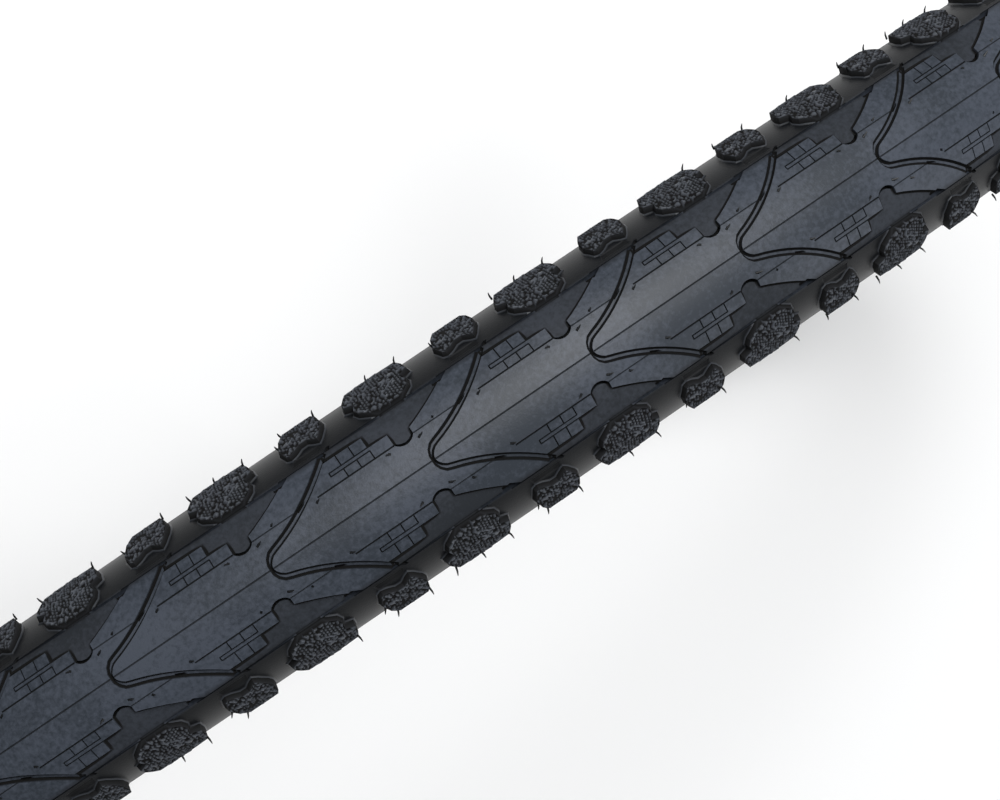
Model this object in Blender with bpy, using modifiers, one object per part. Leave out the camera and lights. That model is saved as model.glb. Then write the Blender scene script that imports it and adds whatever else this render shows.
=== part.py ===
"""Bicycle tyre, 40-622 (700 x 38C), wired-on, with its inner tube and valve.

Run with: blender --background --python part.py
The wheel's centre is the origin, +Y is the axle, and the valve is at the bottom with its
stem pointing up at the axle. A section point is (axial, radial): how far it is from the
tyre's middle plane, and how far from the axle. Section angles are 0 at the crown.
"""

import math

import bmesh
import bpy

MM = 0.001

# Rim fit
BEAD_SEAT_RADIUS = 311.0 * MM  # half of the 622 mm bead seat
BEAD_HALF_SPREAD = 8.35 * MM  # middle plane to the centre of a bead core

# Casing and rubber
CASING_RADIUS = 16.7 * MM  # outside of the outer ply, about the section's centre
SECTION_DROP = 2.1 * MM  # the casing circle's lowest point above the bead seat
PLY = 0.45 * MM
CHAFER = 0.4 * MM
CORE_RADIUS = 0.85 * MM
TURN_UP = 1.9 * MM  # height of a ply's folded edge above the core's centre
CHAFER_RISE = 2.5 * MM  # height of a chafer's outer edge above the core's centre
BELT = 0.6 * MM
SIDEWALL = 1.95 * MM
GAP = 0.3 * MM  # between neighbours

# Tread
TREAD_THICKNESS = 2.3 * MM
TREAD_HALF_WIDTH = 12.8 * MM  # middle plane to the shoulder line
CROWN_ARC_RADIUS = 22.2 * MM
SKIN_LIFT = 0.7 * MM  # the outer skin's centre above the casing's
PITCH_LENGTH = 36.65 * MM  # one large and one small knob on each side
KNOB_HEIGHT = 2.3 * MM
KNOB_DRAFT = 0.4 * MM

# Inner tube and valve (8V1 stem thread, short core)
TUBE_CLEARANCE = 1.1 * MM  # inner ply to the tube, so that it slips in
TUBE_WALL = 1.2 * MM
PATCH_HALF_LENGTH = 11.0 * MM
PATCH_THICKNESS = 2.6 * MM
FOOT_FLANGE = 0.5 * MM  # how far the stem's foot stands out of the stem
FOOT_THICKNESS = 0.8 * MM
STEM_RADIUS = 3.85 * MM
STEM_LENGTH = 40.0 * MM
STEM_BORE_RADIUS = 1.5 * MM
CHAMBER_RADIUS = 2.7 * MM
CHAMBER_DEPTH = 22.0 * MM
WASHER_RADIUS = 7.5 * MM
WASHER_THICKNESS = 1.0 * MM
WASHER_HEIGHT = 12.0 * MM  # its underside above the tube, where a rim's bed ends
NUT_ACROSS_FLATS = 12.0 * MM
NUT_THICKNESS = 4.0 * MM
CAP_WALL = 0.85 * MM
CAP_ENGAGEMENT = 6.35 * MM  # eight turns of the 0.794 mm thread
CAP_TOP = 2.2 * MM
CAP_SEAL = 1.2 * MM
PIN_RADIUS = 0.6 * MM
PIN_SETBACK = 0.9 * MM  # pin tip below the stem's mouth
PLUG_LENGTH = 4.4 * MM
PLUG_SETBACK = 1.6 * MM
BARREL_CLEARANCE = 0.6 * MM  # between the core's barrel and the stem's chamber
SEAL_CLEARANCE = 0.2 * MM
BARREL_LENGTH = 10.5 * MM
BARREL_BORE_RADIUS = 1.3 * MM
NECK_WALL = 0.4 * MM
BARREL_FLOOR = 1.2 * MM
SPRING_WIRE = 0.15 * MM
SPRING_TURNS = 5

RING_STEPS = 40  # facets round every turned ring
VALVE_STEPS = 14

# Worked out from the values above
CORE_CENTRE = BEAD_SEAT_RADIUS + CHAFER + GAP + PLY + GAP + CORE_RADIUS
SECTION_CENTRE = BEAD_SEAT_RADIUS + CASING_RADIUS + SECTION_DROP
BELT_RADIUS = CASING_RADIUS + GAP
TUBE_RADIUS = CASING_RADIUS - 2 * PLY - GAP - TUBE_CLEARANCE
TREAD_BED_RADIUS = BELT_RADIUS + BELT + GAP
CROWN_RADIUS = SECTION_CENTRE + TREAD_BED_RADIUS + TREAD_THICKNESS
SKIN_HALF_WIDTH = CASING_RADIUS + GAP + SIDEWALL
SKIN_CENTRE = SECTION_CENTRE + SKIN_LIFT
SKIN_HEIGHT = CROWN_RADIUS - SECTION_CENTRE - 0.2 * MM
PITCHES = round(2 * math.pi * CROWN_RADIUS / PITCH_LENGTH)

# Section angles, in degrees, where the rings have their corners
PLY_CORNERS = (16, 48, 80, 112)
SKIRT_END = 78.5
SIDEWALL_TOP = 80.5


# ---- scene helpers ----

def clear_scene():
    for item in list(bpy.data.objects):
        bpy.data.objects.remove(item, do_unlink=True)


def new_collection(name, hidden=False):
    collection = bpy.data.collections.new(name)
    bpy.context.scene.collection.children.link(collection)
    collection.hide_render = hidden
    return collection


def paint(name, colour, roughness, metallic=0.0):
    material = bpy.data.materials.new(name)
    material.use_nodes = True
    shader = material.node_tree.nodes["Principled BSDF"]
    shader.inputs["Base Color"].default_value = (*colour, 1.0)
    shader.inputs["Roughness"].default_value = roughness
    shader.inputs["Metallic"].default_value = metallic
    return material


def new_object(name, mesh, material, collection, parent=None):
    item = bpy.data.objects.new(name, mesh)
    collection.objects.link(item)
    item.parent = parent
    if material:
        mesh.materials.append(material)
    return item


def clockwise(profile):
    """The closed profile in the order that a Screw needs, down its outer side."""
    area = 0.0
    for (a1, r1), (a2, r2) in zip(profile, profile[1:] + profile[:1]):
        area += r1 * a2 - r2 * a1
    return profile if area < 0 else profile[::-1]


def swept(name, line, steps, material, collection, parent):
    """A line of (axial, radial) points taken once round the parent's Z axis by a Screw."""
    closed = line[0] == line[-1]
    points = line[:-1] if closed else line
    edges = [(i, (i + 1) % len(points)) for i in range(len(line) - 1)]
    mesh = bpy.data.meshes.new(name)
    mesh.from_pydata([(radial, 0.0, axial) for axial, radial in points], edges, [])
    item = new_object(name, mesh, material, collection, parent)
    screw = item.modifiers.new("turn", "SCREW")
    screw.steps = steps
    screw.render_steps = steps
    screw.use_merge_vertices = True
    screw.merge_threshold = 0.01 * MM
    return item


def turned(name, profile, steps, material, collection, parent):
    """A closed (axial, radial) profile swept round the parent's Z axis."""
    points = clockwise(profile)
    return swept(name, points + points[:1], steps, material, collection, parent)


def solid_turned(name, outline, steps, material, collection, parent):
    """An open outline from the axis round to the axis, swept into a solid without a bore."""
    return swept(name, outline, steps, material, collection, parent)


def cut(item, cutter):
    boolean = item.modifiers.new("cut_" + cutter.name, "BOOLEAN")
    boolean.operation = "DIFFERENCE"
    boolean.solver = "EXACT"
    boolean.object = cutter


# ---- section geometry ----

def on_circle(radius, degrees):
    angle = math.radians(degrees)
    return (radius * math.sin(angle), SECTION_CENTRE + radius * math.cos(angle))


def on_skin(degrees):
    angle = math.radians(degrees)
    return (SKIN_HALF_WIDTH * math.sin(angle), SKIN_CENTRE + SKIN_HEIGHT * math.cos(angle))


def on_chord(radius, degrees, corner_a, corner_b):
    """Where a section angle meets the chord between two corners of a ring."""
    middle = math.radians((corner_a + corner_b) / 2)
    half = math.radians((corner_b - corner_a) / 2)
    return on_circle(radius * math.cos(half) / math.cos(math.radians(degrees) - middle), degrees)


def on_crown(axial):
    drop = CROWN_ARC_RADIUS - math.sqrt(CROWN_ARC_RADIUS**2 - axial**2)
    return (axial, CROWN_RADIUS - drop)


def from_bead(across, up):
    """A point beside the right bead core: across is away from the middle plane."""
    return (BEAD_HALF_SPREAD + across, CORE_CENTRE + up)


def mirrored(points):
    return [(-axial, radial) for axial, radial in reversed(points)]


def mirror_side(points, side):
    return [(side * axial, radial) for axial, radial in points]


def skin_angle(axial):
    return math.degrees(math.asin(axial / SKIN_HALF_WIDTH))


# ---- tyre ----

def casing_ply_outer(material, collection, axle):
    """The cloth that carries the load: crown to bead, round the core and up again."""
    near = CORE_RADIUS + GAP
    far = near + PLY
    skin_side = [on_circle(CASING_RADIUS, corner) for corner in PLY_CORNERS]
    skin_side += [from_bead(-near, near), from_bead(-near, -near)]
    skin_side += [from_bead(near, -near), from_bead(near, TURN_UP)]
    tube_side = [on_circle(CASING_RADIUS - PLY, corner) for corner in PLY_CORNERS]
    tube_side += [from_bead(-far, far), from_bead(-far, -far)]
    tube_side += [from_bead(far, -far), from_bead(far, TURN_UP)]
    profile = mirrored(skin_side) + skin_side + tube_side[::-1] + mirrored(tube_side)[::-1]
    return turned("casing_ply_outer", profile, RING_STEPS, material, collection, axle)


def casing_ply_inner(material, collection, axle):
    """The second cloth layer, which ends at the toe of each bead."""
    outside = CASING_RADIUS - PLY - GAP
    near = CORE_RADIUS + GAP + PLY + GAP
    far = near + PLY
    toe = -0.7 * CORE_RADIUS
    skin_side = [on_circle(outside, corner) for corner in PLY_CORNERS]
    skin_side += [from_bead(-near, near), from_bead(-near, toe)]
    tube_side = [on_circle(outside - PLY, corner) for corner in PLY_CORNERS]
    tube_side += [from_bead(-far, far), from_bead(-far, toe)]
    profile = mirrored(skin_side) + skin_side + tube_side[::-1] + mirrored(tube_side)[::-1]
    return turned("casing_ply_inner", profile, RING_STEPS, material, collection, axle)


def bead_core(name, side, material, collection, axle):
    """The steel wire hoop that sets the bead's diameter."""
    corners = [math.radians(60 * i + 30) for i in range(6)]
    profile = [from_bead(CORE_RADIUS * math.sin(a), CORE_RADIUS * math.cos(a)) for a in corners]
    return turned(name, mirror_side(profile, side), RING_STEPS, material, collection, axle)


def chafer(name, side, material, collection, axle):
    """The rubbed cloth strip that wraps a bead where it touches the rim."""
    inside = CORE_RADIUS + GAP + PLY + GAP
    outside = inside + CHAFER
    toe = -0.7 * CORE_RADIUS - GAP
    profile = [
        from_bead(-inside, toe),
        from_bead(-inside, -inside),
        from_bead(inside, -inside),
        from_bead(inside, CHAFER_RISE),
        from_bead(outside, CHAFER_RISE),
        from_bead(outside, -outside),
        from_bead(-outside, -outside),
        from_bead(-outside, toe),
    ]
    return turned(name, mirror_side(profile, side), RING_STEPS, material, collection, axle)


def sidewall(name, side, material, collection, axle):
    """The rubber skin between the tread's skirt and the rim's edge."""
    bed = CASING_RADIUS + GAP
    foot = CORE_RADIUS + GAP + PLY + GAP + CHAFER + GAP
    last = PLY_CORNERS[-1]
    profile = [on_skin(angle) for angle in (SIDEWALL_TOP, 96, last, 128)]
    profile.append(from_bead(foot + 0.3 * MM, CHAFER_RISE + GAP))
    profile.append(from_bead(foot - 0.7 * MM, CHAFER_RISE + 1.6 * MM))
    profile += [on_circle(bed, last), on_chord(bed, SIDEWALL_TOP, 80, last)]
    return turned(name, mirror_side(profile, side), RING_STEPS, material, collection, axle)


def puncture_belt(material, collection, axle):
    """The tough cloth strip under the tread."""
    angles = (-PLY_CORNERS[1], -PLY_CORNERS[0], PLY_CORNERS[0], PLY_CORNERS[1])
    outside = [on_circle(BELT_RADIUS + BELT, angle) for angle in angles]
    inside = [on_circle(BELT_RADIUS, angle) for angle in angles]
    return turned("puncture_belt", outside + inside[::-1], RING_STEPS, material, collection, axle)


def add_ring(mesh, point, angles):
    """A loop of vertices round the axle through one section point. Angles run about +Y."""
    axial, radial = point
    return [mesh.verts.new((radial * math.cos(a), axial, -radial * math.sin(a))) for a in angles]


def join_rings(mesh, few, many):
    """Faces between two loops, the first with no more vertices than the second."""
    starts = [round(i * len(many) / len(few)) for i in range(len(few))]
    faces = []
    for i, vertex in enumerate(few):
        stop = starts[i + 1] if i + 1 < len(few) else len(many)
        arc = [many[j % len(many)] for j in range(starts[i], stop + 1)]
        faces.append(mesh.faces.new([vertex, *arc, few[(i + 1) % len(few)]]))
    return faces


def raise_knob(mesh, faces):
    """Faces of the shoulder lifted off the skin, with draft on every wall."""
    lifted = bmesh.ops.extrude_face_region(mesh, geom=faces)["geom"]
    tops = [item for item in lifted if isinstance(item, bmesh.types.BMVert)]
    bmesh.ops.delete(mesh, geom=faces, context="FACES")
    middle = sum((vertex.co for vertex in tops), tops[0].co * 0) / len(tops)
    for vertex in tops:
        axle_point = vertex.co.copy()
        axle_point.y = 0
        spoke = axle_point.normalized() * SKIN_CENTRE
        outward = (vertex.co - spoke).normalized()
        inward = (middle - vertex.co).normalized()
        vertex.co += outward * KNOB_HEIGHT + inward * KNOB_DRAFT


def tread(material, collection):
    """The moulded tread band: a smooth crown, and a large and a small knob per pitch and side."""
    pitch = 2 * math.pi / PITCHES
    per_length = 1 / CROWN_RADIUS
    # Where each column of the shoulder starts, along the pitch: large knob, gap, small knob, gap
    columns = {
        "shoulder": (-5.0, 3.5, 13.5, 21.5),
        "middle": (-8.6, 6.2, 13.0, 22.0),
        "skirt": (-8.0, 6.0, 12.2, 23.0),
    }
    start = skin_angle(TREAD_HALF_WIDTH)
    middle = start + 0.375 * (SKIRT_END - start)
    shoulder_axial, shoulder_radial = on_crown(TREAD_HALF_WIDTH)
    skin_axial, skin_radial = on_skin(start)
    section = {
        "shoulder": (shoulder_axial, (shoulder_radial + skin_radial) / 2),
        "middle": on_skin(middle),
        "skirt": on_skin(SKIRT_END - 1.5),
    }

    def fine_angles(row):
        return [pitch * i + u * MM * per_length for i in range(PITCHES) for u in columns[row]]

    coarse = [pitch * i + columns["shoulder"][0] * MM * per_length for i in range(PITCHES)]
    ring_angles = [2 * math.pi * i / RING_STEPS for i in range(RING_STEPS)]
    relief = PLY_CORNERS[1] + 4
    bed = [
        on_skin(SKIRT_END),
        on_chord(BELT_RADIUS, SKIRT_END, PLY_CORNERS[1], PLY_CORNERS[2]),
        on_chord(BELT_RADIUS, relief, PLY_CORNERS[1], PLY_CORNERS[2]),
        on_circle(TREAD_BED_RADIUS + 0.1 * MM, PLY_CORNERS[1] + 1),
        on_circle(TREAD_BED_RADIUS, PLY_CORNERS[0]),
    ]

    mesh = bmesh.new()
    crown = add_ring(mesh, on_crown(0), coarse)
    bed_loops = {}
    for side in (-1, 1):
        half_way = add_ring(mesh, mirror_side([on_crown(TREAD_HALF_WIDTH / 2)], side)[0], coarse)
        loops = []
        for row, point in section.items():
            loops.append(add_ring(mesh, mirror_side([point], side)[0], fine_angles(row)))
        bed_loops[side] = [add_ring(mesh, point, ring_angles) for point in mirror_side(bed, side)]
        join_rings(mesh, crown, half_way)
        join_rings(mesh, half_way, loops[0])
        upper = join_rings(mesh, loops[0], loops[1])
        lower = join_rings(mesh, loops[1], loops[2])
        join_rings(mesh, bed_loops[side][0], loops[2])
        for first, second in zip(bed_loops[side], bed_loops[side][1:]):
            join_rings(mesh, first, second)
        for i in range(0, len(upper), 4):
            raise_knob(mesh, [upper[i], lower[i]])
            raise_knob(mesh, [lower[i + 2]])
    join_rings(mesh, bed_loops[-1][-1], bed_loops[1][-1])
    bmesh.ops.recalc_face_normals(mesh, faces=mesh.faces)
    data = bpy.data.meshes.new("tread")
    mesh.to_mesh(data)
    mesh.free()
    return new_object("tread", data, material, collection)


# ---- inner tube and valve; heights are above the tube's rim-side face ----

TUBE_CORNERS = [22.5 + 45 * i for i in range(8)]
TUBE_FLOOR = SECTION_CENTRE - TUBE_RADIUS * math.cos(math.radians(TUBE_CORNERS[0]))
# The patch clears the facets of the tube beside it
PATCH_LIFT = PATCH_HALF_LENGTH * math.tan(math.pi / RING_STEPS) + GAP
TOE_REACH = CORE_RADIUS + GAP + PLY + GAP + PLY  # bead centre to the cavity side of the plies
PATCH_HALF_WIDTH = BEAD_HALF_SPREAD - TOE_REACH - GAP
FOOT_RADIUS = STEM_RADIUS + FOOT_FLANGE
CAP_RADIUS = STEM_RADIUS + GAP + CAP_WALL
PLUG_RADIUS = CHAMBER_RADIUS - GAP
BARREL_RADIUS = CHAMBER_RADIUS - BARREL_CLEARANCE
CUP_RADIUS = BARREL_RADIUS + 0.2 * MM
SEAL_RADIUS = CUP_RADIUS - 0.3 * MM - GAP
FOOT_TOP = PATCH_LIFT + FOOT_THICKNESS
PATCH_TOP = PATCH_LIFT + PATCH_THICKNESS
STEM_TOP = PATCH_LIFT + STEM_LENGTH
CHAMBER_FLOOR = STEM_TOP - CHAMBER_DEPTH
PLUG_TOP = STEM_TOP - PLUG_SETBACK
BARREL_TOP = PLUG_TOP - PLUG_LENGTH - GAP
BARREL_BOTTOM = BARREL_TOP - BARREL_LENGTH
NECK_TOP = BARREL_BOTTOM + 5.0 * MM
NECK_BOTTOM = BARREL_BOTTOM + 3.0 * MM
NECK_RADIUS = BARREL_BORE_RADIUS + NECK_WALL
PIN_TIP = STEM_TOP - PIN_SETBACK
COLLAR_TOP = BARREL_TOP - 0.6 * MM
COLLAR_BOTTOM = COLLAR_TOP - 0.8 * MM
VALVE_SEAL_TOP = BARREL_BOTTOM - GAP
VALVE_SEAL_BOTTOM = VALVE_SEAL_TOP - 0.7 * MM
CUP_INSIDE = VALVE_SEAL_BOTTOM - GAP
CUP_BOTTOM = CUP_INSIDE - 0.7 * MM
PIN_HEAD_TOP = CUP_BOTTOM - GAP
PIN_HEAD_BOTTOM = PIN_HEAD_TOP - 0.6 * MM
CAP_SEAL_BOTTOM = STEM_TOP + GAP
CAP_CEILING = CAP_SEAL_BOTTOM + CAP_SEAL + GAP


def ring(inside, outside, low, high):
    return [(low, inside), (low, outside), (high, outside), (high, inside)]


def disc(outside, low, high):
    return [(high, 0.0), (high, outside), (low, outside), (low, 0.0)]


def inner_tube(material, collection, cutters, axle, valve):
    """The air-holding tube: a hollow ring, open only at the valve's port."""
    corners = [on_circle(TUBE_RADIUS, angle) for angle in TUBE_CORNERS]
    hollow = [on_circle(TUBE_RADIUS - TUBE_WALL, angle) for angle in TUBE_CORNERS]
    port = disc(STEM_RADIUS + GAP, -2 * TUBE_WALL, 2 * TUBE_WALL)
    tube = turned("inner_tube", corners, RING_STEPS, material, collection, axle)
    cut(tube, turned("tube_air_space", hollow, RING_STEPS, None, cutters, axle))
    cut(tube, solid_turned("tube_valve_port", port, VALVE_STEPS, None, cutters, valve))
    return tube


def valve_patch(material, collection, cutters, valve):
    """The oval rubber patch that bonds the stem's foot to the tube, between the beads."""
    outline = [
        (PATCH_TOP, 0.0),
        (PATCH_TOP, 0.92 * PATCH_HALF_WIDTH),
        (PATCH_LIFT + 0.3 * PATCH_THICKNESS, PATCH_HALF_WIDTH),
        (PATCH_LIFT, PATCH_HALF_WIDTH),
        (PATCH_LIFT, 0.0),
    ]
    patch = solid_turned("valve_patch", outline, 2 * VALVE_STEPS, material, collection, valve)
    patch.scale.x = PATCH_HALF_LENGTH / PATCH_HALF_WIDTH
    bore = disc(STEM_RADIUS + GAP, PATCH_LIFT - PATCH_THICKNESS, PATCH_TOP + PATCH_THICKNESS)
    pocket = disc(FOOT_RADIUS + GAP, PATCH_LIFT - PATCH_THICKNESS, FOOT_TOP + GAP)
    cut(patch, solid_turned("patch_bore", bore, VALVE_STEPS, None, cutters, valve))
    cut(patch, solid_turned("patch_pocket", pocket, VALVE_STEPS, None, cutters, valve))
    return patch


def valve_stem(material, collection, valve):
    """The brass stem: a flanged foot, a threaded barrel and the core's chamber."""
    profile = [
        (PATCH_LIFT, STEM_BORE_RADIUS),
        (PATCH_LIFT, FOOT_RADIUS),
        (FOOT_TOP, FOOT_RADIUS),
        (FOOT_TOP, STEM_RADIUS),
        (STEM_TOP - 0.5 * MM, STEM_RADIUS),
        (STEM_TOP, STEM_RADIUS - 0.5 * MM),
        (STEM_TOP, CHAMBER_RADIUS),
        (CHAMBER_FLOOR, CHAMBER_RADIUS),
        (CHAMBER_FLOOR - CHAMBER_RADIUS + STEM_BORE_RADIUS, STEM_BORE_RADIUS),
    ]
    return turned("valve_stem", profile, VALVE_STEPS, material, collection, valve)


def rim_washer(material, collection, valve):
    profile = ring(STEM_RADIUS + GAP, WASHER_RADIUS, WASHER_HEIGHT, WASHER_HEIGHT + WASHER_THICKNESS)
    return turned("rim_washer", profile, VALVE_STEPS, material, collection, valve)


def rim_nut(material, collection, cutters, valve):
    """The hexagon nut that draws the stem down on a rim."""
    low = WASHER_HEIGHT + WASHER_THICKNESS + GAP
    corner = NUT_ACROSS_FLATS / 2 / math.cos(math.radians(30))
    nut = solid_turned("rim_nut", disc(corner, low, low + NUT_THICKNESS), 6, material, collection, valve)
    bore = disc(STEM_RADIUS + GAP, low - NUT_THICKNESS, low + 2 * NUT_THICKNESS)
    cut(nut, solid_turned("rim_nut_bore", bore, VALVE_STEPS, None, cutters, valve))
    return nut


def core_plug(material, collection, valve):
    """The threaded head of the valve core."""
    profile = ring(PIN_RADIUS + GAP, PLUG_RADIUS, PLUG_TOP - PLUG_LENGTH, PLUG_TOP)
    return turned("core_plug", profile, VALVE_STEPS, material, collection, valve)


def core_barrel(material, collection, valve):
    """The core's body, which holds the spring and carries a seal ring in its neck."""
    profile = [
        (BARREL_BOTTOM, PIN_RADIUS + GAP),
        (BARREL_BOTTOM, BARREL_RADIUS),
        (NECK_BOTTOM, BARREL_RADIUS),
        (NECK_BOTTOM, NECK_RADIUS),
        (NECK_TOP, NECK_RADIUS),
        (NECK_TOP, BARREL_RADIUS),
        (BARREL_TOP, BARREL_RADIUS),
        (BARREL_TOP, BARREL_BORE_RADIUS),
        (BARREL_BOTTOM + BARREL_FLOOR, BARREL_BORE_RADIUS),
        (BARREL_BOTTOM + BARREL_FLOOR, PIN_RADIUS + GAP),
    ]
    return turned("core_barrel", profile, VALVE_STEPS, material, collection, valve)


def core_seal_ring(material, collection, valve):
    """The ring that seals the core's body against the stem's chamber."""
    profile = ring(NECK_RADIUS + GAP, CHAMBER_RADIUS - SEAL_CLEARANCE, NECK_BOTTOM + GAP, NECK_TOP - GAP)
    return turned("core_seal_ring", profile, VALVE_STEPS, material, collection, valve)


def core_pin(material, collection, valve):
    """The pin that a pump presses, with the spring's collar and a riveted lower head."""
    outline = [
        (PIN_TIP, 0.0),
        (PIN_TIP, PIN_RADIUS),
        (COLLAR_TOP, PIN_RADIUS),
        (COLLAR_TOP, BARREL_BORE_RADIUS - 0.2 * MM),
        (COLLAR_BOTTOM, BARREL_BORE_RADIUS - 0.2 * MM),
        (COLLAR_BOTTOM, PIN_RADIUS),
        (PIN_HEAD_TOP, PIN_RADIUS),
        (PIN_HEAD_TOP, 2 * PIN_RADIUS),
        (PIN_HEAD_BOTTOM, 2 * PIN_RADIUS),
        (PIN_HEAD_BOTTOM, 0.0),
    ]
    return solid_turned("core_pin", outline, VALVE_STEPS, material, collection, valve)


def core_cup(material, collection, valve):
    """The metal cup at the pin's lower end that holds the valve's seal."""
    lip = VALVE_SEAL_TOP - GAP
    profile = [
        (CUP_BOTTOM, PIN_RADIUS + GAP),
        (CUP_BOTTOM, CUP_RADIUS),
        (lip, CUP_RADIUS),
        (lip, SEAL_RADIUS + GAP),
        (CUP_INSIDE, SEAL_RADIUS + GAP),
        (CUP_INSIDE, PIN_RADIUS + GAP),
    ]
    return turned("core_cup", profile, VALVE_STEPS, material, collection, valve)


def core_seal(material, collection, valve):
    """The rubber washer that the spring pulls up against the core's body."""
    profile = ring(PIN_RADIUS + GAP, SEAL_RADIUS, VALVE_SEAL_BOTTOM, VALVE_SEAL_TOP)
    return turned("core_seal", profile, VALVE_STEPS, material, collection, valve)


def core_spring(material, collection, valve):
    """The coil between the barrel's floor and the pin's collar."""
    low = BARREL_BOTTOM + BARREL_FLOOR + SPRING_WIRE + 0.1 * MM
    high = COLLAR_BOTTOM - SPRING_WIRE - 0.1 * MM
    radius = (PIN_RADIUS + BARREL_BORE_RADIUS) / 2
    steps = 8 * SPRING_TURNS
    curve = bpy.data.curves.new("core_spring", "CURVE")
    curve.dimensions = "3D"
    curve.bevel_depth = SPRING_WIRE
    curve.bevel_resolution = 1
    curve.use_fill_caps = True
    spline = curve.splines.new("POLY")
    spline.points.add(steps)
    for i, point in enumerate(spline.points):
        angle = 2 * math.pi * SPRING_TURNS * i / steps
        height = low + (high - low) * i / steps
        point.co = (radius * math.cos(angle), radius * math.sin(angle), height, 1.0)
    return new_object("core_spring", curve, material, collection, valve)


def cap_shell(material, collection, valve):
    """The screwed dust cap."""
    bore = STEM_RADIUS + GAP
    outline = [
        (CAP_CEILING + CAP_TOP, 0.0),
        (CAP_CEILING + CAP_TOP, 0.7 * CAP_RADIUS),
        (CAP_CEILING, CAP_RADIUS),
        (STEM_TOP - CAP_ENGAGEMENT, CAP_RADIUS),
        (STEM_TOP - CAP_ENGAGEMENT, bore),
        (CAP_CEILING, bore),
        (CAP_CEILING, 0.0),
    ]
    return solid_turned("cap_shell", outline, VALVE_STEPS, material, collection, valve)


def cap_seal(material, collection, valve):
    """The rubber disc inside the cap."""
    outline = disc(STEM_RADIUS, CAP_SEAL_BOTTOM, CAP_SEAL_BOTTOM + CAP_SEAL)
    return solid_turned("cap_seal", outline, VALVE_STEPS, material, collection, valve)


# ---- the assembly ----

def main():
    clear_scene()
    tyre = new_collection("bicycle_tyre")
    cutters = new_collection("cutters", hidden=True)

    axle = bpy.data.objects.new("axle_line", None)
    axle.rotation_euler = (-math.pi / 2, 0.0, 0.0)
    valve = bpy.data.objects.new("valve_line", None)
    valve.location = (0.0, 0.0, -TUBE_FLOOR)
    for guide in (axle, valve):
        guide.empty_display_size = 0.02
        tyre.objects.link(guide)

    tread_rubber = paint("tread_rubber", (0.075, 0.088, 0.105), 0.55)
    skin_rubber = paint("sidewall_rubber", (0.035, 0.037, 0.042), 0.6)
    tube_rubber = paint("tube_rubber", (0.02, 0.02, 0.021), 0.5)
    cloth = paint("casing_cloth", (0.32, 0.27, 0.19), 0.9)
    belt_cloth = paint("belt_cloth", (0.55, 0.36, 0.06), 0.85)
    chafer_cloth = paint("chafer_cloth", (0.05, 0.05, 0.05), 0.9)
    steel = paint("bead_steel", (0.6, 0.55, 0.45), 0.35, 1.0)
    brass = paint("valve_brass", (0.78, 0.6, 0.28), 0.3, 1.0)
    nickel = paint("nickel_plate", (0.72, 0.7, 0.66), 0.28, 1.0)
    spring_steel = paint("spring_steel", (0.55, 0.55, 0.57), 0.3, 1.0)
    seal_rubber = paint("seal_rubber", (0.02, 0.02, 0.02), 0.7)
    seal_plastic = paint("seal_plastic", (0.6, 0.09, 0.06), 0.45)
    cap_plastic = paint("cap_plastic", (0.02, 0.02, 0.022), 0.42)

    tread(tread_rubber, tyre)
    puncture_belt(belt_cloth, tyre, axle)
    casing_ply_outer(cloth, tyre, axle)
    casing_ply_inner(cloth, tyre, axle)
    for end, side in (("left", -1), ("right", 1)):
        bead_core("bead_core_" + end, side, steel, tyre, axle)
        chafer("chafer_" + end, side, chafer_cloth, tyre, axle)
        sidewall("sidewall_" + end, side, skin_rubber, tyre, axle)

    inner_tube(tube_rubber, tyre, cutters, axle, valve)
    valve_patch(tube_rubber, tyre, cutters, valve)
    valve_stem(nickel, tyre, valve)
    rim_washer(nickel, tyre, valve)
    rim_nut(nickel, tyre, cutters, valve)
    core_plug(brass, tyre, valve)
    core_barrel(brass, tyre, valve)
    core_seal_ring(seal_plastic, tyre, valve)
    core_pin(brass, tyre, valve)
    core_cup(brass, tyre, valve)
    core_seal(seal_rubber, tyre, valve)
    core_spring(spring_steel, tyre, valve)
    cap_shell(cap_plastic, tyre, valve)
    cap_seal(seal_rubber, tyre, valve)

    for guide in cutters.objects:
        guide.display_type = "WIRE"
        guide.hide_render = True


main()
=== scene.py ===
import math

import bmesh
import bpy
import numpy as np
from mathutils import Matrix, Vector
from mathutils.geometry import delaunay_2d_cdt


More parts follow.
